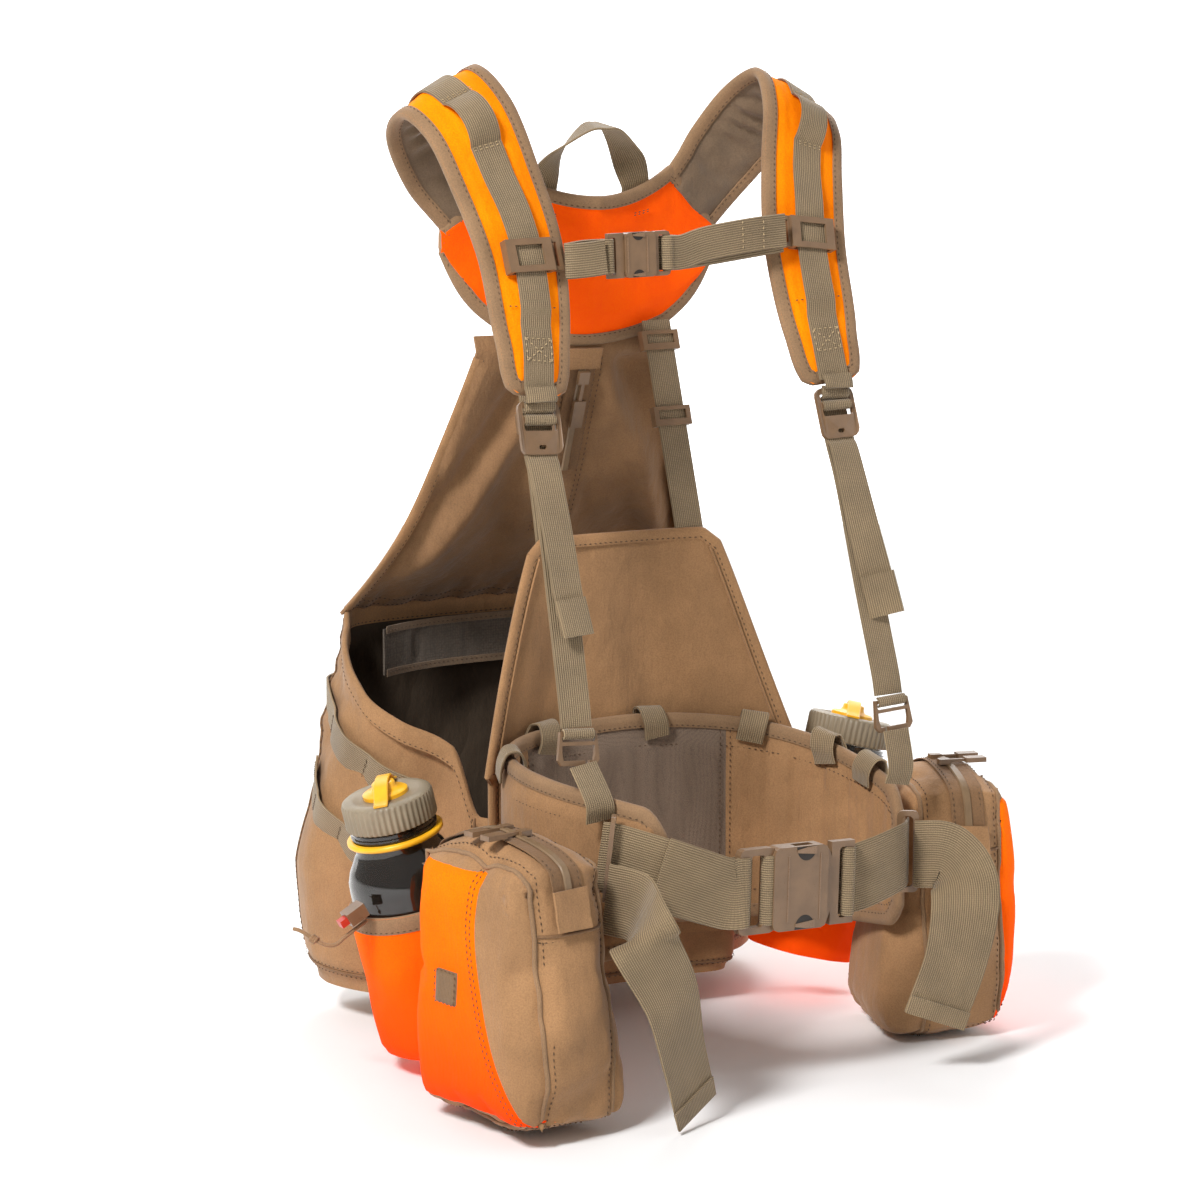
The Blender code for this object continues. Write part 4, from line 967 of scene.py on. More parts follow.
# ---------------------------------------------------------------- waist webbing
def make_waist():
    place = frame_at((0.013, -0.1185, 0.002), (1, 0.02, -0.03), Z)
    upright = place.to_3x3() @ Y
    right = [
        ((-0.1310, -0.0930, 0.0350), Z, WIDE),
        ((-0.1215, -0.0990, 0.0330), Z, WIDE),
        ((-0.0920, -0.1150, 0.0220), (0, 0.10, 1), WIDE),
        ((-0.0700, -0.1170, 0.0130), (0, 0.05, 1), WIDE),
    ]
    right += [(place @ Vector((x, 0, -0.0049)), upright, WIDE) for x in (-0.0560, -0.0440, -0.0330)]
    strap("waist_web_right", right, stands_for=["waist_webbing_right"])
    over = [
        ((-0.0960, -0.1170, 0.0245), (0, 0.10, 1), WIDE),
        ((-0.0720, -0.1200, 0.0150), (0, 0.05, 1), WIDE),
        (place @ Vector((-0.0560, 0, 0.0020)), upright, WIDE),
        (place @ Vector((-0.0450, 0, 0.0050)), upright, WIDE),
    ]
    strap("waist_web_right_front", over)
    bar_wrap("waist_web_bar_right", place, -0.0435, WIDE, 0.0050, "harness", turn=(-95, 95))
    bar_wrap("waist_web_bar_inner", place, -0.0225, WIDE, 0.0048, "harness", turn=(-95, 80))
    left = [
        (place @ Vector((0.0405, 0, -0.0049)), upright, WIDE),
        (place @ Vector((0.0560, 0, -0.0052)), upright, WIDE),
    ]
    left += [
        ((0.0900, -0.1110, 0.0040), Z, WIDE),
        ((0.1180, -0.1020, 0.0080), Z, WIDE),
        ((0.1330, -0.0860, 0.0060), Z, WIDE),
        ((0.1400, -0.0780, 0.0060), Z, WIDE),
    ]
    strap("waist_web_left", left, stands_for=["waist_webbing_left"])
    bar_wrap("waist_web_bar_left", place, 0.0465, WIDE, 0.0045, "waist_plug", turn=(-95, 95))
    buckle_face("waist_buckle", place, 0.0060, 0.0296, 0.0085, 0.0065, "harness")


def flat_shape(name, place, outline, height, thickness, material, body):
    """A thin plate with this outline in the placement's XY plane, from the given height outwards."""
    count = len(outline)
    verts = [place @ Vector((x, y, height + lift)) for lift in (0, thickness) for x, y in outline]
    faces = [tuple(range(count))[::-1], tuple(range(count, 2 * count))]
    faces += [(i, (i + 1) % count, count + (i + 1) % count, count + i) for i in range(count)]
    piece(name, verts, faces, M[material], body)


def buckle_face(name, place, middle, half_height, reach, front, body):
    """The windows at both edges of a side-release socket, with the plug's arms showing in them."""
    for edge, sign in (("top", 1), ("low", -1)):
        arc = [math.radians(180 * i / 20) for i in range(21)]
        depth = half_height * 0.34
        window = [(middle + reach * math.cos(a), sign * (half_height - depth * math.sin(a))) for a in arc]
        flat_shape(f"{name}_window_{edge}", place, window[::-sign], front, 0.0002, "shadow", body)
        arm = [
            (middle - reach * 0.97, sign * half_height * 0.86),
            (middle + reach * 0.97, sign * half_height * 0.80),
            (middle + reach * 0.97, sign * half_height * 0.995),
            (middle + reach * 0.1, sign * half_height * 0.985),
            (middle - reach * 0.97, sign * half_height * 0.93),
        ]
        flat_shape(f"{name}_arm_{edge}", place, arm[::sign], front + 0.0002, 0.0006, "moulded", body)
    for k, share in enumerate((-1.75, 1.45)):
        x = middle + reach * share
        ridge = [(x - 0.0006, -half_height * 0.8), (x + 0.0006, -half_height * 0.8)]
        ridge += [(x + 0.0006, half_height * 0.8), (x - 0.0006, half_height * 0.8)]
        flat_shape(f"{name}_ridge_{k}", place, ridge, front, 0.0004, "moulded", body)


def make_tails():
    right = [
        ((-0.1320, -0.1050, 0.0080), (0.05, -0.05, 1.00), WIDE),
        ((-0.1205, -0.1310, 0.0040), (0.20, -0.10, 0.96), WIDE),
        ((-0.1330, -0.1600, -0.0120), (0.74, 0.03, 0.66), WIDE),
        ((-0.1140, -0.1620, -0.0500), (0.86, 0.20, 0.40), WIDE),
        ((-0.1000, -0.1560, -0.0950), (0.89, 0.40, 0.25), WIDE),
        ((-0.0860, -0.1500, -0.1380), (0.89, 0.40, 0.22), WIDE * 0.96),
    ]
    left = [
        ((0.1390, -0.0880, 0.0050), Z, WIDE),
        ((0.1560, -0.1070, 0.0040), (0.20, 0.10, 0.97), WIDE),
        ((0.1560, -0.1280, -0.0150), (0.75, -0.30, 0.55), WIDE),
        ((0.1440, -0.1360, -0.0600), (0.94, -0.22, -0.12), WIDE),
        ((0.1260, -0.1330, -0.1080), (0.90, -0.20, -0.36), WIDE),
    ]
    for name, stations, hem_from in (("right", right, 0.70), ("left", left, 0.74)):
        strap(f"tail_{name}", stations, stands_for=[f"waist_tail_{name}"])
        hem = [(Vector(p) + Vector((-0.001, -0.0026, 0)), w, size) for p, w, size in stations[-2:]]
        hem[0] = (hem[0][0].lerp(hem[1][0], hem_from), *hem[0][1:])
        strap(f"tail_{name}_hem", hem)


# ---------------------------------------------------------------- hip pouches
POUCH = {
    # centre, turn to the front in degrees, front-to-back width, depth, height, lean in at the foot
    "right": (Vector((-0.1875, -0.0760, -0.0450)), 10, 0.150, 0.082, 0.194, 0.0),
    "left": (Vector((0.2120, -0.0170, -0.0470)), 16, 0.126, 0.086, 0.198, 0.014),
}


def pouch_frame(name):
    """Local X runs to the pouch's front edge, Y out from the wearer and Z up."""
    side = SIDES[name]
    centre, turn = POUCH[name][:2]
    angle = math.radians(turn)
    out = Vector((side * math.cos(angle), -math.sin(angle), 0))
    front = Vector((-side * math.sin(angle), -math.cos(angle), 0))
    return Matrix.Translation(centre) @ Matrix((front, out, Z)).transposed().to_4x4()


def pouch_point(name, p, swell=1.0):
    width, depth, height, lean = POUCH[name][2:]
    length = (p.x**4 + p.y**4 + p.z**4) ** 0.25
    q = p * 0.64 + p / length * 0.36
    spread = (0.95 - 0.06 * q.z) * swell
    inward = lean * ((1 - q.z) / 2) ** 1.5
    across = q.y * depth / 2 * (1.02 - 0.12 * q.z) * swell - inward
    return Vector((q.x * width / 2 * spread, across, q.z * height / 2 * swell))


PRESSURE, SWELL_CAP = 4.0, 0.006  # how hard a pouch is blown up, and how far a point may move
VOXEL, FRAMES = 0.005, 20


def inflate(obj):
    """Swells a closed shape with Blender's cloth, keeps each point near its start, then smooths it."""
    remesh = obj.modifiers.new("even", "REMESH")
    remesh.mode = "VOXEL"
    remesh.voxel_size = VOXEL
    apply_modifiers(obj)
    rest = [v.co.copy() for v in obj.data.vertices]
    settings = obj.modifiers.new("cloth", "CLOTH").settings
    settings.use_pressure = True
    settings.uniform_pressure_force = PRESSURE
    settings.effector_weights.gravity = 0
    settings.shrink_min = -0.05
    settings.quality = 5
    scene = bpy.context.scene
    for at in range(1, FRAMES + 1):
        scene.frame_set(at)
    apply_modifiers(obj)
    scene.frame_set(1)
    for vert, start in zip(obj.data.vertices, rest):
        move = vert.co - start
        if move.length > SWELL_CAP:
            vert.co = start + move * (SWELL_CAP / move.length)
    obj.modifiers.new("finer", "SUBSURF").levels = 1
    apply_modifiers(obj)


def apply_modifiers(obj):
    shape = bpy.data.meshes.new_from_object(obj.evaluated_get(bpy.context.evaluated_depsgraph_get()))
    obj.modifiers.clear()
    obj.data = shape
    shape.shade_smooth()


class PouchSkin:
    """Finds places on a pouch's finished cloth by looking at it from outside, in the pouch's own frame."""

    FAR = 0.3  # where a look starts
    TRIES, STEP_IN = 12, 0.03

    def __init__(self, name, obj):
        self.place = pouch_frame(name)
        self.tree = BVHTree.FromPolygons(
            [v.co.copy() for v in obj.data.vertices], [tuple(p.vertices) for p in obj.data.polygons]
        )
        self.inverse = self.place.inverted()

    def hit(self, start, direction):
        """Where a line from outside first meets the cloth. A miss is tried again nearer the middle."""
        toward = self.place.to_3x3() @ -Vector(direction)
        for miss in range(self.TRIES):
            origin = self.place @ (Vector(start) * (1 - self.STEP_IN * miss) + Vector(direction) * self.FAR)
            spot, normal, _, _ = self.tree.ray_cast(origin, toward)
            if normal:
                break
        if normal.dot(toward) > 0:
            normal = -normal
        return spot, normal

    def loop(self, y, angles, lift):
        """Points round the pouch in a plane of constant depth y, at the given angles from the front."""
        points, normals = [], []
        for angle in angles:
            direction = Vector((math.cos(angle), 0, math.sin(angle)))
            spot, normal = self.hit((0, y, 0), direction)
            points.append(spot + normal * lift)
            normals.append(normal)
        return points, normals

    def face_panel(self, name, outline, nu, nv, material, lift):
        """Cloth laid on the outer face. outline(v) is its least and greatest local x, and its z.

        The rim is pressed into the pouch, so no gap shows under it.
        """
        verts, uvs = [], []
        for j in range(nv + 1):
            x0, x1, z = outline(j / nv)
            for i in range(nu + 1):
                x = x0 + (x1 - x0) * i / nu
                spot, normal = self.hit((x, 0, z), (0, 1, 0))
                edge = min(i, nu - i, j, nv - j)
                verts.append(spot + normal * (lift if edge else -0.0004))
                uvs.append((x, z))
        made = piece(name, verts, grid_faces(nu, nv), M[material], uvs=uvs)
        for polygon in made.data.polygons:
            centre = self.inverse @ polygon.center
            if (self.inverse.to_3x3() @ polygon.normal).y < 0 and centre.y > 0:
                polygon.flip()
        return made


# The orange cloth's rear and front edges as shares of the pouch's width, from its foot up.
ORANGE_EDGES = [
    Vector(e) for e in ((-0.33, 0.46), (-0.42, 0.27), (-0.45, 0.15), (-0.45, 0.08), (-0.41, 0.09))
]


def make_pouch(name):
    place = pouch_frame(name)
    work = bmesh.new()
    bmesh.ops.create_cube(work, size=2)
    bmesh.ops.subdivide_edges(work, edges=work.edges, cuts=22, use_grid_fill=True)
    for vert in work.verts:
        vert.co = place @ pouch_point(name, vert.co, 0.95)
    bmesh.ops.recalc_face_normals(work, faces=work.faces)
    mesh = bpy.data.meshes.new("pouch_" + name)
    work.to_mesh(mesh)
    work.free()
    mesh.materials.append(M["tan"])
    mesh.shade_smooth()
    body = bpy.data.objects.new("pouch_" + name, mesh)
    bpy.context.scene.collection.objects.link(body)
    inflate(body)
    crumple(body, name)
    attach(body, "harness")
    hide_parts(f"hip_pouch_{name}")
    trim_pouch(name, PouchSkin(name, body))


def crumple(body, name):
    """Soft folds, deepest low on the gusset, and a pull-in along the seams."""
    inverse = pouch_frame(name).inverted()
    width, depth, height = POUCH[name][2:5]
    for vert in body.data.vertices:
        p = inverse @ vert.co
        side = 1 - min(1.0, abs(p.y) / (depth * 0.5)) ** 3
        low = smooth_step(-p.z, -height * 0.1, height * 0.45)
        wave = noise.noise(Vector((p.x * 22, p.y * 34, p.z * 42 + 3))) * 0.0052 * side * (0.35 + low)
        wave += noise.noise(Vector((p.x * 12, p.y * 12, p.z * 14))) * 0.0040
        wave -= 0.0016 * bell(abs(p.y), depth * 0.36, 0.0035)
        p = inverse @ (vert.co + vert.normal * wave)
        rear = smooth_step(-p.x, 0, width * 0.5)
        front = smooth_step(p.x, 0, width * 0.5)
        p.x += width * (0.13 * rear * smooth_step(-p.z, height * 0.05, height * 0.52))
        p.x -= width * 0.05 * front * smooth_step(p.z, 0, height * 0.5)
        p.z -= height * 0.035 * (rear + front) * smooth_step(p.z, height * 0.2, height * 0.5)
        vert.co = inverse.inverted() @ p


def turns(first, last, count):
    """Even angles in radians between two given in degrees."""
    return [math.radians(first + (last - first) * i / count) for i in range(count + 1)]


def trim_pouch(name, skin):
    """Piping, zip, orange cloth, label and stitches on a finished pouch."""
    width, depth, height = POUCH[name][2:5]
    threads = Threads()
    for k, y in enumerate((0.36, -0.36)):
        points, _ = skin.loop(y * depth, turns(0, 360, 140)[:-1], 0.0004)
        tube(f"pouch_piping_{name}_{k}", points, 0.0017, "binding", closed=True)
        threads.line(*skin.loop((y - math.copysign(0.055, y)) * depth, turns(20, 340, 160), 0.0006))
    points, normals = skin.loop(0.004, turns(46, 150, 60), 0.0016)
    across = skin.place.to_3x3() @ Y
    stations = [(p, across, 0.026) for p in points]
    strap(f"pouch_tape_{name}", stations, thickness=0.0010, material="tan_dark", steps=120)
    stations = [(p + n * 0.0012, across, 0.0062) for p, n in zip(points, normals)]
    strap(
        f"pouch_teeth_{name}",
        stations,
        thickness=0.0020,
        material="zip",
        steps=120,
        stands_for=[f"pouch_zipper_{name}"],
    )
    for y in (0.0145, -0.0065):
        threads.line(*skin.loop(y, turns(48, 150, 120), 0.0024))
    tab_points, _ = skin.loop(0.004, turns(34, 50, 8), 0.0042)
    strap(f"pouch_zip_tab_{name}", [(p, across, 0.030) for p in tab_points], thickness=0.0020, material="tan")
    gusset_seam(name, skin, threads)
    z_high, z_low = height * 0.41, -height * 0.455

    def outline(v):
        z = z_low + (z_high - z_low) * v
        rear, front = curve_at(ORANGE_EDGES, v)
        return rear * width, front * width, z

    skin.face_panel(f"pouch_orange_{name}", outline, 24, 40, "orange", 0.0015)
    if name == "left":
        wrapped_panel(name, skin, z_low, z_high)
    for reach in (0.004, 0.008):
        edge, normals = [], []
        for i in range(61):
            _, high, z = outline(i / 60)
            spot, normal = skin.hit((high - reach, 0, z), (0, 1, 0))
            edge.append(spot + normal * 0.0019)
            normals.append(normal)
        threads.line(edge, normals)
    threads.finish(f"pouch_stitches_{name}")
    patch(name, skin)


def wrapped_panel(name, skin, z_low, z_high):
    """Orange cloth that bulges round the front outer corner."""
    columns, rows, verts = 14, 30, []
    for j in range(rows + 1):
        share = j / rows
        for i in range(columns + 1):
            angle = math.radians(72 - 38 * i / columns)
            z = z_low + (z_high - z_low) * share
            spot, normal = skin.hit((0, 0, z), (math.cos(angle), math.sin(angle), 0))
            edge = min(i, columns - i, j, rows - j)
            bulge = 0.0052 * math.sin(math.pi * i / columns) * math.sin(math.pi * share) ** 0.5
            verts.append(spot + normal * ((0.0012 + bulge) if edge else -0.0006))
    faces = [(a, d, c, b) for a, b, c, d in grid_faces(columns, rows)]
    piece(f"pouch_orange_edge_{name}", verts, faces, M["orange"])


def gusset_seam(name, skin, threads):
    """A seam across the front side, a quarter of the way down."""
    depth, height = POUCH[name][3:5]
    points, normals = [], []
    for i in range(25):
        spot, normal = skin.hit((0, depth * (-0.34 + 0.68 * i / 24), height * 0.22), (1, 0, 0))
        points.append(spot + normal * 0.0004)
        normals.append(normal)
    tube(f"pouch_seam_{name}", points, 0.0011, "tan_dark")
    threads.line([p - Z * 0.004 for p in points], normals)


def patch(name, skin):
    """A plain, raised sewn label, in place of the maker's."""
    half = 0.0135
    x_mid, z_mid = -POUCH[name][2] * 0.11, -0.004

    def outline(v):
        return x_mid - half, x_mid + half, z_mid + half * (2 * v - 1)

    skin.face_panel(f"label_{name}", outline, 8, 8, "patch", 0.0034)
    threads = Threads()
    inset = half - 0.0022
    corners = [(-inset, -inset), (inset, -inset), (inset, inset), (-inset, inset)]
    for a, b in zip(corners, corners[1:] + corners[:1]):
        points, normals = [], []
        for i in range(11):
            x, z = a[0] + (b[0] - a[0]) * i / 10, a[1] + (b[1] - a[1]) * i / 10
            spot, normal = skin.hit((x_mid + x, 0, z_mid + z), (0, 1, 0))
            points.append(spot + normal * 0.0036)
            normals.append(normal)
        threads.line(points, normals)
    threads.finish(f"label_stitches_{name}")


# ---------------------------------------------------------------- game bag and back panel
BAG_FLOOR, BAG_HEM, BAG_CLOTH = -0.122, 0.164, 0.003
BAG_PLAN = [
    (0, 0.111),
    (0.060, 0.108),
    (0.100, 0.104),
    (0.116, 0.122),
    (0.134, 0.146),
    (0.160, 0.163),
    (0.184, 0.190),
    (0.197, 0.235),
    (0.176, 0.275),
    (0.090, 0.290),
    (0, 0.292),
]
BAG_KNOTS = [Vector((*p, 0)) for p in BAG_PLAN]
BAG_MIDDLE = Vector((0, 0.20, 0))


def bag_plan(turn):
    """The wall's plan: 0 is the front middle, 0.5 the back middle; the wearer's left comes first."""
    turn %= 1.0
    p = curve_at(BAG_KNOTS, 2 * min(turn, 1 - turn))
    return p if turn <= 0.5 else Vector((-p.x, p.y, 0))


def rim_height(p):
    front, back = 0.094, 0.262
    low, high = 0.045, BAG_HEM - BAG_CLOTH
    side_share = max(0.0, min(1.0, (p.y - front) / (back - front)))
    at_side = low + (high - low) * side_share**1.06
    lift = smooth_step(abs(p.x), 0.112, 0.126)
    lift = max(lift, smooth_step(p.y, 0.145, 0.155))
    return 0.020 + (at_side - 0.020) * lift


def bag_point(turn, v):
    p = bag_plan(turn)
    z = BAG_FLOOR + (rim_height(p) - BAG_FLOOR) * v
    up = max(0.0, z + 0.03) / (BAG_HEM + 0.03)
    elbow = max(0.0, min(1.0, (p.y - 0.15) / 0.10))
    q = Vector((p.x * (1 - 0.20 * up * elbow), p.y, 0))
    q = BAG_MIDDLE + (q - BAG_MIDDLE) * (1 - 0.05 * (1 - smooth_step(v, 0, 0.10)))
    return Vector((q.x, q.y, z))


def bag_crease(turn, v):
    p = Vector(bag_point(turn, v))
    near = smooth_step(v, 0.0, 0.12) * (1 - 0.85 * smooth_step(v, 0.88, 1.0))
    elbow = bell((p - Vector((math.copysign(0.155, p.x), 0.25, 0.12))).length, 0, 0.07)
    soft = ripple(p, (9, 9, 7), 0.0095, 4.0) + ripple(p, (22, 22, 15), 0.0065, 6.0)
    crinkle = ripple(p, (34, 34, 70), 0.0075, 8.0) * elbow
    return (soft + crinkle) * near


def make_bag():
    around, high = 220, 44
    verts, faces, marks = [], [], []
    for inset in (0.0, 0.0022):
        order = range(high + 1) if inset == 0 else range(high, -1, -1)
        for j in order:
            for i in range(around):
                turn, v = i / around, j / high
                p = Vector(bag_point(turn, v))
                away = p - BAG_MIDDLE
                away.z = 0
                verts.append(p + away.normalized() * (bag_crease(turn, v) - inset))
    rows = 2 * (high + 1)
    for j in range(rows - 1):
        for i in range(around):
            k = (i + 1) % around
            faces.append((j * around + k, j * around + i, (j + 1) * around + i, (j + 1) * around + k))
            marks.append(0 if j <= high else 1)
    for start, z, flip in ((0, BAG_FLOOR - 0.002, False), ((rows - 1) * around, BAG_FLOOR + 0.001, True)):
        verts.append(Vector((0, 0.20, z)))
        for i in range(around):
            a, b = start + i, start + (i + 1) % around
            faces.append((len(verts) - 1, b, a) if flip else (len(verts) - 1, a, b))
            marks.append(1 if flip else 0)
    faces = [tuple(reversed(f)) for f in faces]
    cloths = [M["tan"], M["inside"]]
    piece("bag", verts, faces, cloths, which=lambda index: marks[index], stands_for=["game_bag"])
    trim_bag()


def trim_bag():
    """The bag's rim, seams and webbing strips."""
    threads = Threads()

    def on_wall(turn, v, lift):
        p = Vector(bag_point(turn, v))
        away = p - BAG_MIDDLE
        away.z = 0
        away.normalize()
        return p + away * (bag_crease(turn, v) + lift), away

    rim = [i / 240 for i in range(240)]
    frames = []
    for turn in rim:
        p, away = on_wall(turn, 1.0, -0.0011)
        frames.append((p, -Z, away))
    frames.append(frames[0])
    binding("bag_rim", frames, 0.0016, threads, reach=0.014, material="tan")
    for v in (0.075, 0.05):
        spots = [on_wall(i / 400, v, 0.0014) for i in range(401)]
        threads.line(*zip(*spots))
    seam = [on_wall(i / 240, 0.062, 0.0006)[0] for i in range(240)]
    tube("bag_floor_seam", seam, 0.0013, "tan_dark", closed=True)
    for turn in (0.145, 0.855, 0.385, 0.615):
        spots = [on_wall(turn, 0.02 + 0.96 * i / 60, 0.0006) for i in range(61)]
        tube(f"bag_seam_{round(turn * 1000)}", [s[0] for s in spots], 0.0011, "tan_dark")
        for shift in (-0.004, 0.004):
            spots = [on_wall(turn + shift, 0.02 + 0.96 * i / 60, 0.0009) for i in range(61)]
            threads.line(*zip(*spots))
    for k, (start, end) in enumerate(GEAR_STRIPS):
        for mirror in (False, True):
            gear_strip(
                f"gear_strip_{k}_{'left' if mirror else 'right'}", start, end, mirror, on_wall, threads
            )
    threads.finish("bag_stitches")


GEAR_STRIPS = [
    ((0.600, 0.780), (0.755, 0.755)), ((0.620, 0.580), (0.715, 0.470))
]  # (turn, height share) of both ends


def gear_strip(name, start, end, mirror, on_wall, threads):
    """Slanted webbing sewn down at even bartacks, so it stands off a little between them."""
    steps, stations = 48, []
    for i in range(steps + 1):
        share = i / steps
        turn = start[0] + (end[0] - start[0]) * share
        v = start[1] + (end[1] - start[1]) * share
        rise = 0.0016 * abs(math.sin(math.pi * share * 3))
        p, out = on_wall(1 - turn if mirror else turn, v, 0.0016 + rise)
        stations.append((p, out))
    rows = []
    for i, (p, out) in enumerate(stations):
        along = (stations[min(i + 1, steps)][0] - stations[max(i - 1, 0)][0]).normalized()
        rows.append((p, out.cross(along) * (-1 if mirror else 1), NARROW))
    strap(name, rows, steps=96, thickness=0.0014)
    for tack in range(4):
        i = round(steps * (0.03 + 0.94 * tack / 3))
        p, out = stations[i]
        across = rows[i][1].normalized()
        for shift in (-0.0008, 0.0008):
            spots = [p + across * (0.0095 * (2 * j / 12 - 1)) + out * 0.0010 + Z * shift for j in range(13)]
            threads.line(spots, [out] * 13)


PANEL_TOP, ZIP_FOOT = 0.366, 0.270


def panel_half_width(x, v):
    """From the middle to the edge on x's side, at height share v. The panel widens towards its foot."""
    down = max(0.0, 1 - v)
    return 0.092 + 0.063 * down**1.1 if x < 0 else 0.076 + 0.079 * down**1.35


def panel_point(u, v):
    foot = BAG_HEM - 0.005
    z = foot + (PANEL_TOP - foot) * v
    half = panel_half_width(u, v)
    y_mid = 0.157 + 0.36 * abs(PANEL_TOP - z) + 2.4 * max(0.0, ZIP_FOOT - z) ** 2
    to_rim = (0.0335 - 0.0190 * abs(u) ** 5) * max(0.0, 1 - v / 0.42) ** 2
    return u * half, y_mid - 0.010 * abs(u) ** 2 * max(0.0, 1 - v) + to_rim, z


def panel_fold(u, v):
    """A long slanting fold each side of the zip, and puckers where the cloth is gathered into its hem."""
    p = Vector(panel_point(u, v))
    away = (abs(p.x) - 0.020) - (0.345 - p.z) * 0.62
    long_fold = 0.0090 * bell(away, 0, 0.013) - 0.0070 * bell(away, 0.026, 0.012)
    wander = 4.0 * noise.noise(Vector((p.x * 30, 0, 2)))
    pucker = 0.0013 * math.sin(abs(p.x) * 210 + wander) * bell(v, 0.05, 0.07)
    soft = ripple(p, (16, 10, 11), 0.0120, 2.6) + ripple(p, (38, 10, 26), 0.0045, 5.1)
    middle = smooth_step(abs(p.x), 0.010, 0.035)
    edge = smooth_step(1 - abs(u), 0, 0.10) * smooth_step(1 - v, 0, 0.08)
    held = 0.25 + 0.75 * smooth_step(v, 0.02, 0.22)
    return (long_fold * smooth_step(v, 0.05, 0.3) + soft) * middle * edge * held + pucker * edge


def make_panel():
    skin = Skin(panel_point, along=(0, 1.055))

    def front(u, v):
        return 0.0012 + panel_fold(u, v)

    def back(u, v):
        return 0.0012 - panel_fold(u, v)

    panel = skin.pad(
        "back_panel", 110, 90, front, back, ["tan_panel_shaded", "tan_panel_shaded"], stands_for=["upper_back_panel"]
    )
    threads = Threads()
    for v in (0.020, 0.045):
        line, normals = skin.path([(-0.98, v), (0.98, v)], 260)
        folds = [panel_fold(-0.98 + 1.96 * i / 260, v) for i in range(261)]
        threads.line([p + n * (0.0018 + fold) for p, n, fold in zip(line, normals, folds)], normals)
    for name, side in SIDES.items():
        spots = [(side, 0.02 + 0.96 * i / 60) for i in range(61)]
        frames = edge_frames(skin, spots, lambda u, v: (u * 0.95, v))
        binding(f"panel_hem_{name}", frames, 0.0014, threads, material="tan")
        for x in (0.0125, 0.0165):
            spots = [panel_spot(skin, side * x, 0.30 + 0.68 * i / 70) for i in range(71)]
            threads.line(*zip(*spots))
    track = [skin.on(0, v, 0.0026) for v in (0.985, 0.86, 0.72, 0.54)]
    strap("back_zip_tape", [(p, X, 0.024) for p in track], thickness=0.0010, material="tan_dark", steps=60)
    teeth = [p - Y * 0.0012 for p in track]
    strap(
        "back_zip_teeth",
        [(p, X, 0.0060) for p in teeth],
        thickness=0.0022,
        material="zip",
        stands_for=["back_zipper"],
    )
    garage = [skin.on(0, v, 0.0042) for v in (1.0, 0.965, 0.93)]
    strap("back_zip_garage", [(p, X, 0.030) for p in garage], thickness=0.0022, material="tan")
    threads.finish("panel_stitches")


def panel_spot(skin, x, v):
    u = x / panel_half_width(x, v)
    return skin.on(u, v, 0.0016 + panel_fold(u, v)), skin.out(u, v)


def band_point(u, v):
    x = u * 0.130
    return x, 0.272 - 0.030 * (abs(x) / 0.130) ** 3, 0.112 + 0.036 * v


def make_gear_band():
    skin = Skin(band_point)

    def front(u, v):
        gather = 0.0022 * math.sin(abs(u) * 34) * (bell(abs(u), 0.30, 0.06) + bell(abs(u), 0.72, 0.06))
        return 0.0009 + (gather + ripple(skin.point(u, v), (30, 30, 20), 0.0012, 3)) * math.sin(math.pi * v)

    band = skin.pad(
        "mesh_band", 80, 12, front, lambda u, v: 0.0005, ["mesh", "mesh"], stands_for=["gear_band"]
    )
    threads = Threads()
    for v in (0.05, 0.95):
        skin.stitch(threads, [(-0.97, v), (0.97, v)], 0.0016, 200)
    for v, label in ((0.03, "low"), (0.97, "top")):
        skin.webbing(
            f"band_edge_{label}", [(-0.98, v), (0.98, v)], 0.0060, 0.0012, 60, 0.0008, material="lining"
        )
    threads.finish("band_stitches")


# ---------------------------------------------------------------- bottles and their pockets
BOTTLE_TOP = {"right": Vector((-0.2150, 0.0620, 0.0500)), "left": Vector((0.2110, 0.1030, 0.0600))}
BOTTLE_RADIUS, BOTTLE_HEIGHT, CAP_RADIUS, CAP_HEIGHT = 0.042, 0.164, 0.0335, 0.021


def bottle_frame(name):
    """Local Z runs up the bottle from its foot."""
    lean = Vector((SIDES[name] * 0.24, 0.0, 0.97)).normalized()
    foot = BOTTLE_TOP[name] - lean * (BOTTLE_HEIGHT + CAP_HEIGHT / 2)
    return Matrix.Translation(foot) @ Matrix((Y.cross(lean), Y, lean)).transposed().to_4x4()


def turned(
    name, profile, place, material, body, steps=72, ribs=0, depth=0.0, rib_from=0, rib_to=0, stands_for=()
):
    """A closed turned shape. Its profile is a closed loop of (radius, height).

    Ribs are pressed in, depth deep, on the profile's points from rib_from to rib_to.
    """
    verts, n = [], len(profile)
    for i in range(steps):
        angle = 2 * math.pi * i / steps
        for k, (r, h) in enumerate(profile):
            if ribs and rib_from <= k <= rib_to:
                r -= depth * (0.5 + 0.5 * math.cos(angle * ribs))
            verts.append(place @ Vector((r * math.cos(angle), r * math.sin(angle), h)))
    faces = []
    for i in range(steps):
        k = (i + 1) % steps
        for j in range(n):
            m = (j + 1) % n
            faces.append((n * i + j, n * k + j, n * k + m, n * i + m))
    return piece(name, verts, faces, M[material], body, stands_for=stands_for)


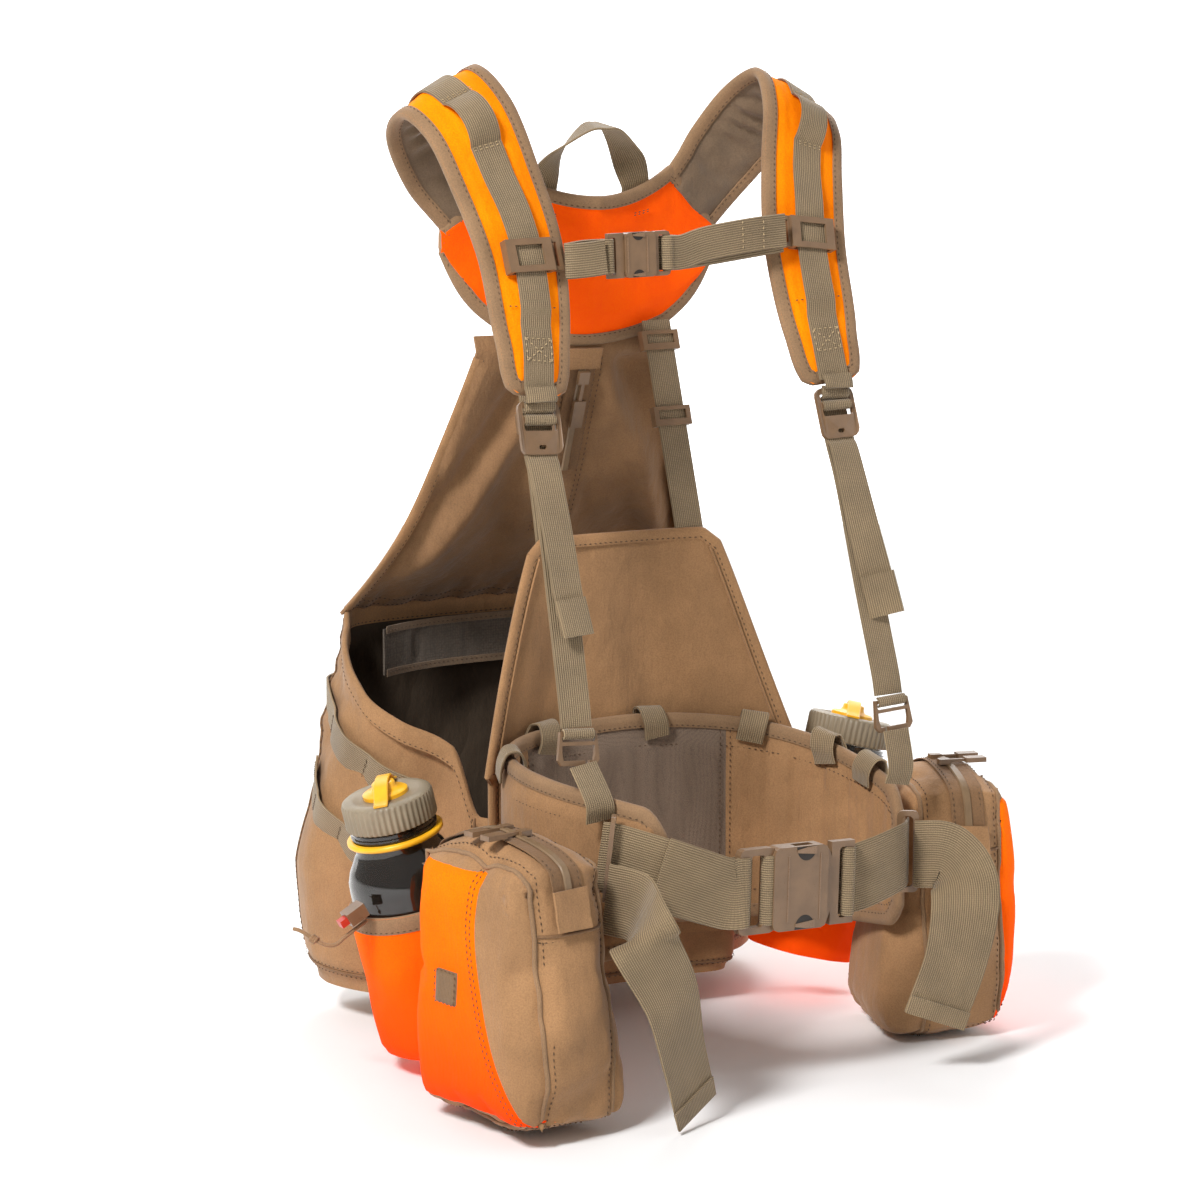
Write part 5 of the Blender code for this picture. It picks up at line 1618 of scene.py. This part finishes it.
def make_bottle(name):
    place = bottle_frame(name)
    body = f"bottle_{name}"
    r, h, neck, wall, axis = BOTTLE_RADIUS - 0.0004, BOTTLE_HEIGHT, 0.0305, 0.0018, 0.0002
    outside = [(axis, 0.0), (r - 0.005, 0.0), (r - 0.0015, 0.0014), (r, 0.005), (r, h * 0.5), (r, h - 0.044)]
    outside += [
        (r - 0.0008, h - 0.037),
        (r - 0.0035, h - 0.030),
        (r - 0.0075, h - 0.0235),
        (neck + 0.0012, h - 0.019),
    ]
    outside += [(neck, h - 0.0170), (neck, h - 0.0130), (neck, h - 0.0010)]
    inside = [
        (neck - wall, h - 0.0010),
        (neck - wall, h - 0.0180),
        (r - 0.0105, h - 0.0240),
        (r - 0.0052, h - 0.031),
    ]
    inside += [
        (r - 0.0026, h - 0.038),
        (r - wall, h - 0.046),
        (r - wall, 0.006),
        (r - 0.006, 0.0025),
        (axis, 0.0025),
    ]
    turned(f"bottle_shell_{name}", outside + inside, place, "bottle", body, stands_for=[f"bottle_{name}"])
    near, far, low, high = neck + 0.0006, 0.0352, h - 0.0112, h - 0.0072
    ring = [
        (near, low),
        (far - 0.001, low),
        (far, low + 0.001),
        (far, high - 0.001),
        (far - 0.001, high),
        (near, high),
    ]
    turned(f"tether_ring_{name}", ring, place, "yellow", body, stands_for=[f"bottle_tether_{name}"])
    thread = [
        (neck - 0.0004, h - 0.0060),
        (neck + 0.0012, h - 0.0052),
        (neck + 0.0012, h - 0.0040),
        (neck - 0.0004, h - 0.0032),
    ]
    turned(f"neck_thread_{name}", thread, place, "bottle", body)
    make_cap(name, place)


def make_cap(name, place):
    body = f"bottle_cap_{name}"
    c, low, top = CAP_RADIUS, BOTTLE_HEIGHT, BOTTLE_HEIGHT + CAP_HEIGHT
    lid = [(0.0002, low + 0.0005), (c - 0.002, low + 0.0005), (c - 0.0004, low + 0.0008), (c, low + 0.002)]
    lid += [
        (c, low + 0.010),
        (c, top - 0.0035),
        (c - 0.0010, top - 0.0012),
        (c - 0.0030, top),
        (0.024, top + 0.0004),
    ]
    lid += [(0.023, top - 0.0004), (0.0002, top - 0.0004)]
    ribs = {"steps": 288, "ribs": 48, "depth": 0.0011, "rib_from": 2, "rib_to": 5}
    turned(f"cap_{name}", lid, place, "cap", body, **ribs, stands_for=[f"bottle_cap_{name}"])
    knob = [(0.0002, top - 0.0004), (0.0165, top - 0.0004), (0.0165, top + 0.0022), (0.0150, top + 0.0032)]
    knob += [
        (0.0100, top + 0.0040),
        (0.0085, top + 0.0065),
        (0.0085, top + 0.0085),
        (0.0075, top + 0.0095),
        (0.0002, top + 0.0095),
    ]
    turned(f"cap_knob_{name}", knob, place, "yellow", body)
    across = Vector((0.55, 0.83, 0)).normalized()
    side = place.to_3x3() @ Z.cross(across)
    arch = [
        (-0.031, 0.0012),
        (-0.024, 0.0030),
        (-0.012, 0.0100),
        (0.0, 0.0116),
        (0.012, 0.0100),
        (0.024, 0.0030),
        (0.031, 0.0012),
    ]
    stations = [(place @ (across * x + Z * (top + z)), side, 0.0105) for x, z in arch]
    strap(f"cap_strap_{name}", stations, body, thickness=0.0016, material="yellow", steps=36)


POCKET_FOOT, POCKET_FLOOR = -0.0042, -0.0012  # outside and inside, in the bottle's frame


def make_pocket(name):
    """A cloth sleeve with a bound rim and wrinkles that fade out below its top."""
    place = bottle_frame(name)
    inner, outer, rim = BOTTLE_RADIUS + 0.0012, BOTTLE_RADIUS + 0.0038, 0.107
    steps, rows = 96, 30
    verts = []
    for inside in (False, True):
        for j in range(rows + 1):
            h = POCKET_FOOT + (rim - POCKET_FOOT) * (rows - j if inside else j) / rows
            for i in range(steps):
                angle = 2 * math.pi * i / steps
                x, y = math.cos(angle), math.sin(angle)
                if inside:
                    r, level = inner, max(h, POCKET_FLOOR)
                else:
                    drawn_in = 1 - smooth_step(h, 0.06, 0.085)
                    wave = noise.noise(Vector((x * 2.2, y * 2.2, h * 26 + 9))) * 0.0030 * drawn_in
                    foot = 0.003 * (1 - smooth_step(h, -0.004, 0.004))
                    r, level = outer - foot + max(-0.0008, wave), h
                verts.append(place @ Vector((x * r, y * r, level)))
    faces = sweep(2 * (rows + 1), steps, caps=False)
    last = len(verts) - steps
    verts += [place @ Vector((0, 0, POCKET_FOOT)), place @ Vector((0, 0, POCKET_FLOOR))]
    for i in range(steps):
        k = (i + 1) % steps
        faces.append((len(verts) - 2, k, i))
        faces.append((len(verts) - 1, last + i, last + k))
    piece(f"pocket_{name}", verts, faces, M["orange"], stands_for=[f"bottle_pocket_{name}"])
    frames, threads = [], Threads()
    for i in range(steps + 1):
        angle = 2 * math.pi * i / steps
        out = place.to_3x3() @ Vector((math.cos(angle), math.sin(angle), 0))
        middle = (inner + outer) / 2
        frames.append(
            (
                place @ Vector((middle * math.cos(angle), middle * math.sin(angle), rim)),
                -(place.to_3x3() @ Z),
                out,
            ),
        )
    binding(f"pocket_rim_{name}", frames, 0.0014, threads, reach=0.0120, tape=0.0006)
    threads.finish(f"pocket_stitches_{name}")


CORD = 0.0028
CORD_ROUTE = [
    (-0.2440, 0.0410, -0.0255),
    (-0.2500, 0.0400, -0.0280),
    (-0.2560, 0.0400, -0.0315),
    (-0.2620, 0.0402, -0.0352),
    (-0.2668, 0.0406, -0.0388),
    (-0.2710, 0.0420, -0.0400),
    (-0.2752, 0.0444, -0.0392),
    (-0.2794, 0.0474, -0.0370),
    (-0.2832, 0.0508, -0.0342),
    (-0.2864, 0.0544, -0.0316),
    (-0.2890, 0.0582, -0.0300),
    (-0.2908, 0.0620, -0.0298),
]


def make_cord():
    knots = [Vector(p) for p in CORD_ROUTE]
    curve = bpy.data.curves.new("drawcord", "CURVE")
    curve.dimensions = "3D"
    curve.bevel_depth = CORD / 2
    curve.bevel_resolution = 4
    curve.use_fill_caps = True
    line = curve.splines.new("POLY")
    points = spline(knots, 44)
    line.points.add(len(points) - 1)
    for spot, p in zip(line.points, points):
        spot.co = (*p, 1)
    obj = bpy.data.objects.new("drawcord", curve)
    bpy.context.scene.collection.objects.link(obj)
    curve.materials.append(M["binding"])
    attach(obj, "harness")
    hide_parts("pocket_cord_right")
    length = sum((b - a).length for a, b in zip(points, points[1:]))
    knot = make_knot(points[30], (points[31] - points[29]).normalized())


def make_knot(centre, along):
    """An overhand knot drawn tight: three close turns round the cord."""
    side = along.cross(Z).normalized()
    up = side.cross(along)
    path = []
    for i in range(49):
        angle = 2 * math.pi * 3 * i / 48
        at = along * (0.0050 * (i / 48 - 0.5))
        path.append(centre + at + (side * math.cos(angle) + up * math.sin(angle)) * 0.0022)
    return tube("cord_knot", path, 0.0012, "binding")


# ---------------------------------------------------------------- hard parts kept from the CAD
def finish_hardware():
    """Plastic and a small bevel on every CAD piece that no soft piece replaces."""
    for name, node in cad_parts.items():
        if node.hide_render:
            continue
        kind = "red" if name == "cord_lock_button_right" else "plastic"
        node.data.materials.clear()
        node.data.materials.append(M[kind])
        bevel = node.modifiers.new("edges", "BEVEL")
        bevel.width = 0.0006
        bevel.segments = 2
        bevel.limit_method = "ANGLE"
        bevel.angle_limit = math.radians(35)
        node.data.shade_flat()


# ---------------------------------------------------------------- stage
FLOOR_LEVEL = -0.149
WORLD_STRENGTH, BACKDROP_STRENGTH = 0.30, 1.10
LIGHTS = {  # place, size in metres, power in watts
    "key": ((-2.0, -1.0, 2.1), 0.6, 92),
    "fill": ((1.9, -1.3, 0.9), 1.6, 9),
    "rim": ((0.9, 1.6, 1.9), 1.0, 26),
}
CAMERA_PLACE = (-1.2072, -1.9589, 0.530)
CAMERA_DOWN, CAMERA_TURN = 8.356, -30  # degrees
LENS, SENSOR = 96, 36  # millimetres


def make_stage():
    bpy.ops.mesh.primitive_plane_add(size=9, location=(0, 0, FLOOR_LEVEL))
    floor = bpy.context.object
    floor.name = "floor"
    m = Nodes("floor_paper", (0.88, 0.88, 0.88), 0.85)
    at = m.coords()
    m.link(m.ramp(m.noise(at, 3, 2), [(0.3, (0.92,) * 3), (0.7, (0.95,) * 3)]), "Base Color")
    floor.data.materials.append(m.material)
    make_backdrop()
    world = bpy.data.worlds.new("studio")
    world.use_nodes = True
    world.node_tree.nodes["Background"].inputs[0].default_value = (1.0, 1.0, 1.0, 1)
    world.node_tree.nodes["Background"].inputs[1].default_value = WORLD_STRENGTH
    bpy.context.scene.world = world
    for name, (place, size, power) in LIGHTS.items():
        area_light(name, place, size, power)


def make_backdrop():
    """A pale lit paper behind the stage."""
    upright = (math.radians(90), 0, math.radians(CAMERA_TURN))
    bpy.ops.mesh.primitive_plane_add(size=9, location=(1.6, 2.8, 1.5), rotation=upright)
    paper = bpy.context.object
    paper.name = "backdrop"
    m = Nodes("backdrop_paper", (0.9, 0.9, 0.9), 0.9)
    at = m.coords()
    tone = m.ramp(m.noise(at, 2, 2), [(0.3, (0.93,) * 3), (0.7, (0.96,) * 3)])
    m.link(tone, "Emission Color")
    m.shader.inputs["Emission Strength"].default_value = BACKDROP_STRENGTH
    paper.data.materials.append(m.material)


def area_light(name, place, size, power):
    """A soft light that looks at the pack's middle."""
    data = bpy.data.lights.new(name, "AREA")
    data.size = size
    data.energy = power
    light = bpy.data.objects.new(name, data)
    light.location = place
    light.rotation_euler = (Vector((0, 0, 0.2)) - Vector(place)).to_track_quat("-Z", "Y").to_euler()
    bpy.context.scene.collection.objects.link(light)


def make_camera():
    data = bpy.data.cameras.new("camera")
    data.lens = LENS
    data.sensor_width = SENSOR
    camera = bpy.data.objects.new("camera", data)
    camera.location = CAMERA_PLACE
    camera.rotation_euler = (math.radians(90 - CAMERA_DOWN), 0, math.radians(CAMERA_TURN))
    bpy.context.scene.collection.objects.link(camera)
    bpy.context.scene.camera = camera


def main():
    make_yoke()
    make_handle()
    for name, side in SIDES.items():
        make_harness_side(name, side)
        make_adjuster(name, side)
        make_hook_webbing(name, side)
        make_torso_strap(name, side)
        make_pouch(name)
        make_bottle(name)
        make_pocket(name)
    make_sternum_strap()
    make_bib()
    make_belt()
    make_waist()
    make_tails()
    make_bag()
    make_panel()
    make_gear_band()
    make_cord()
    finish_hardware()
    make_stage()
    make_camera()
    bpy.context.scene.view_settings.view_transform = "Standard"
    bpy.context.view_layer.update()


main()
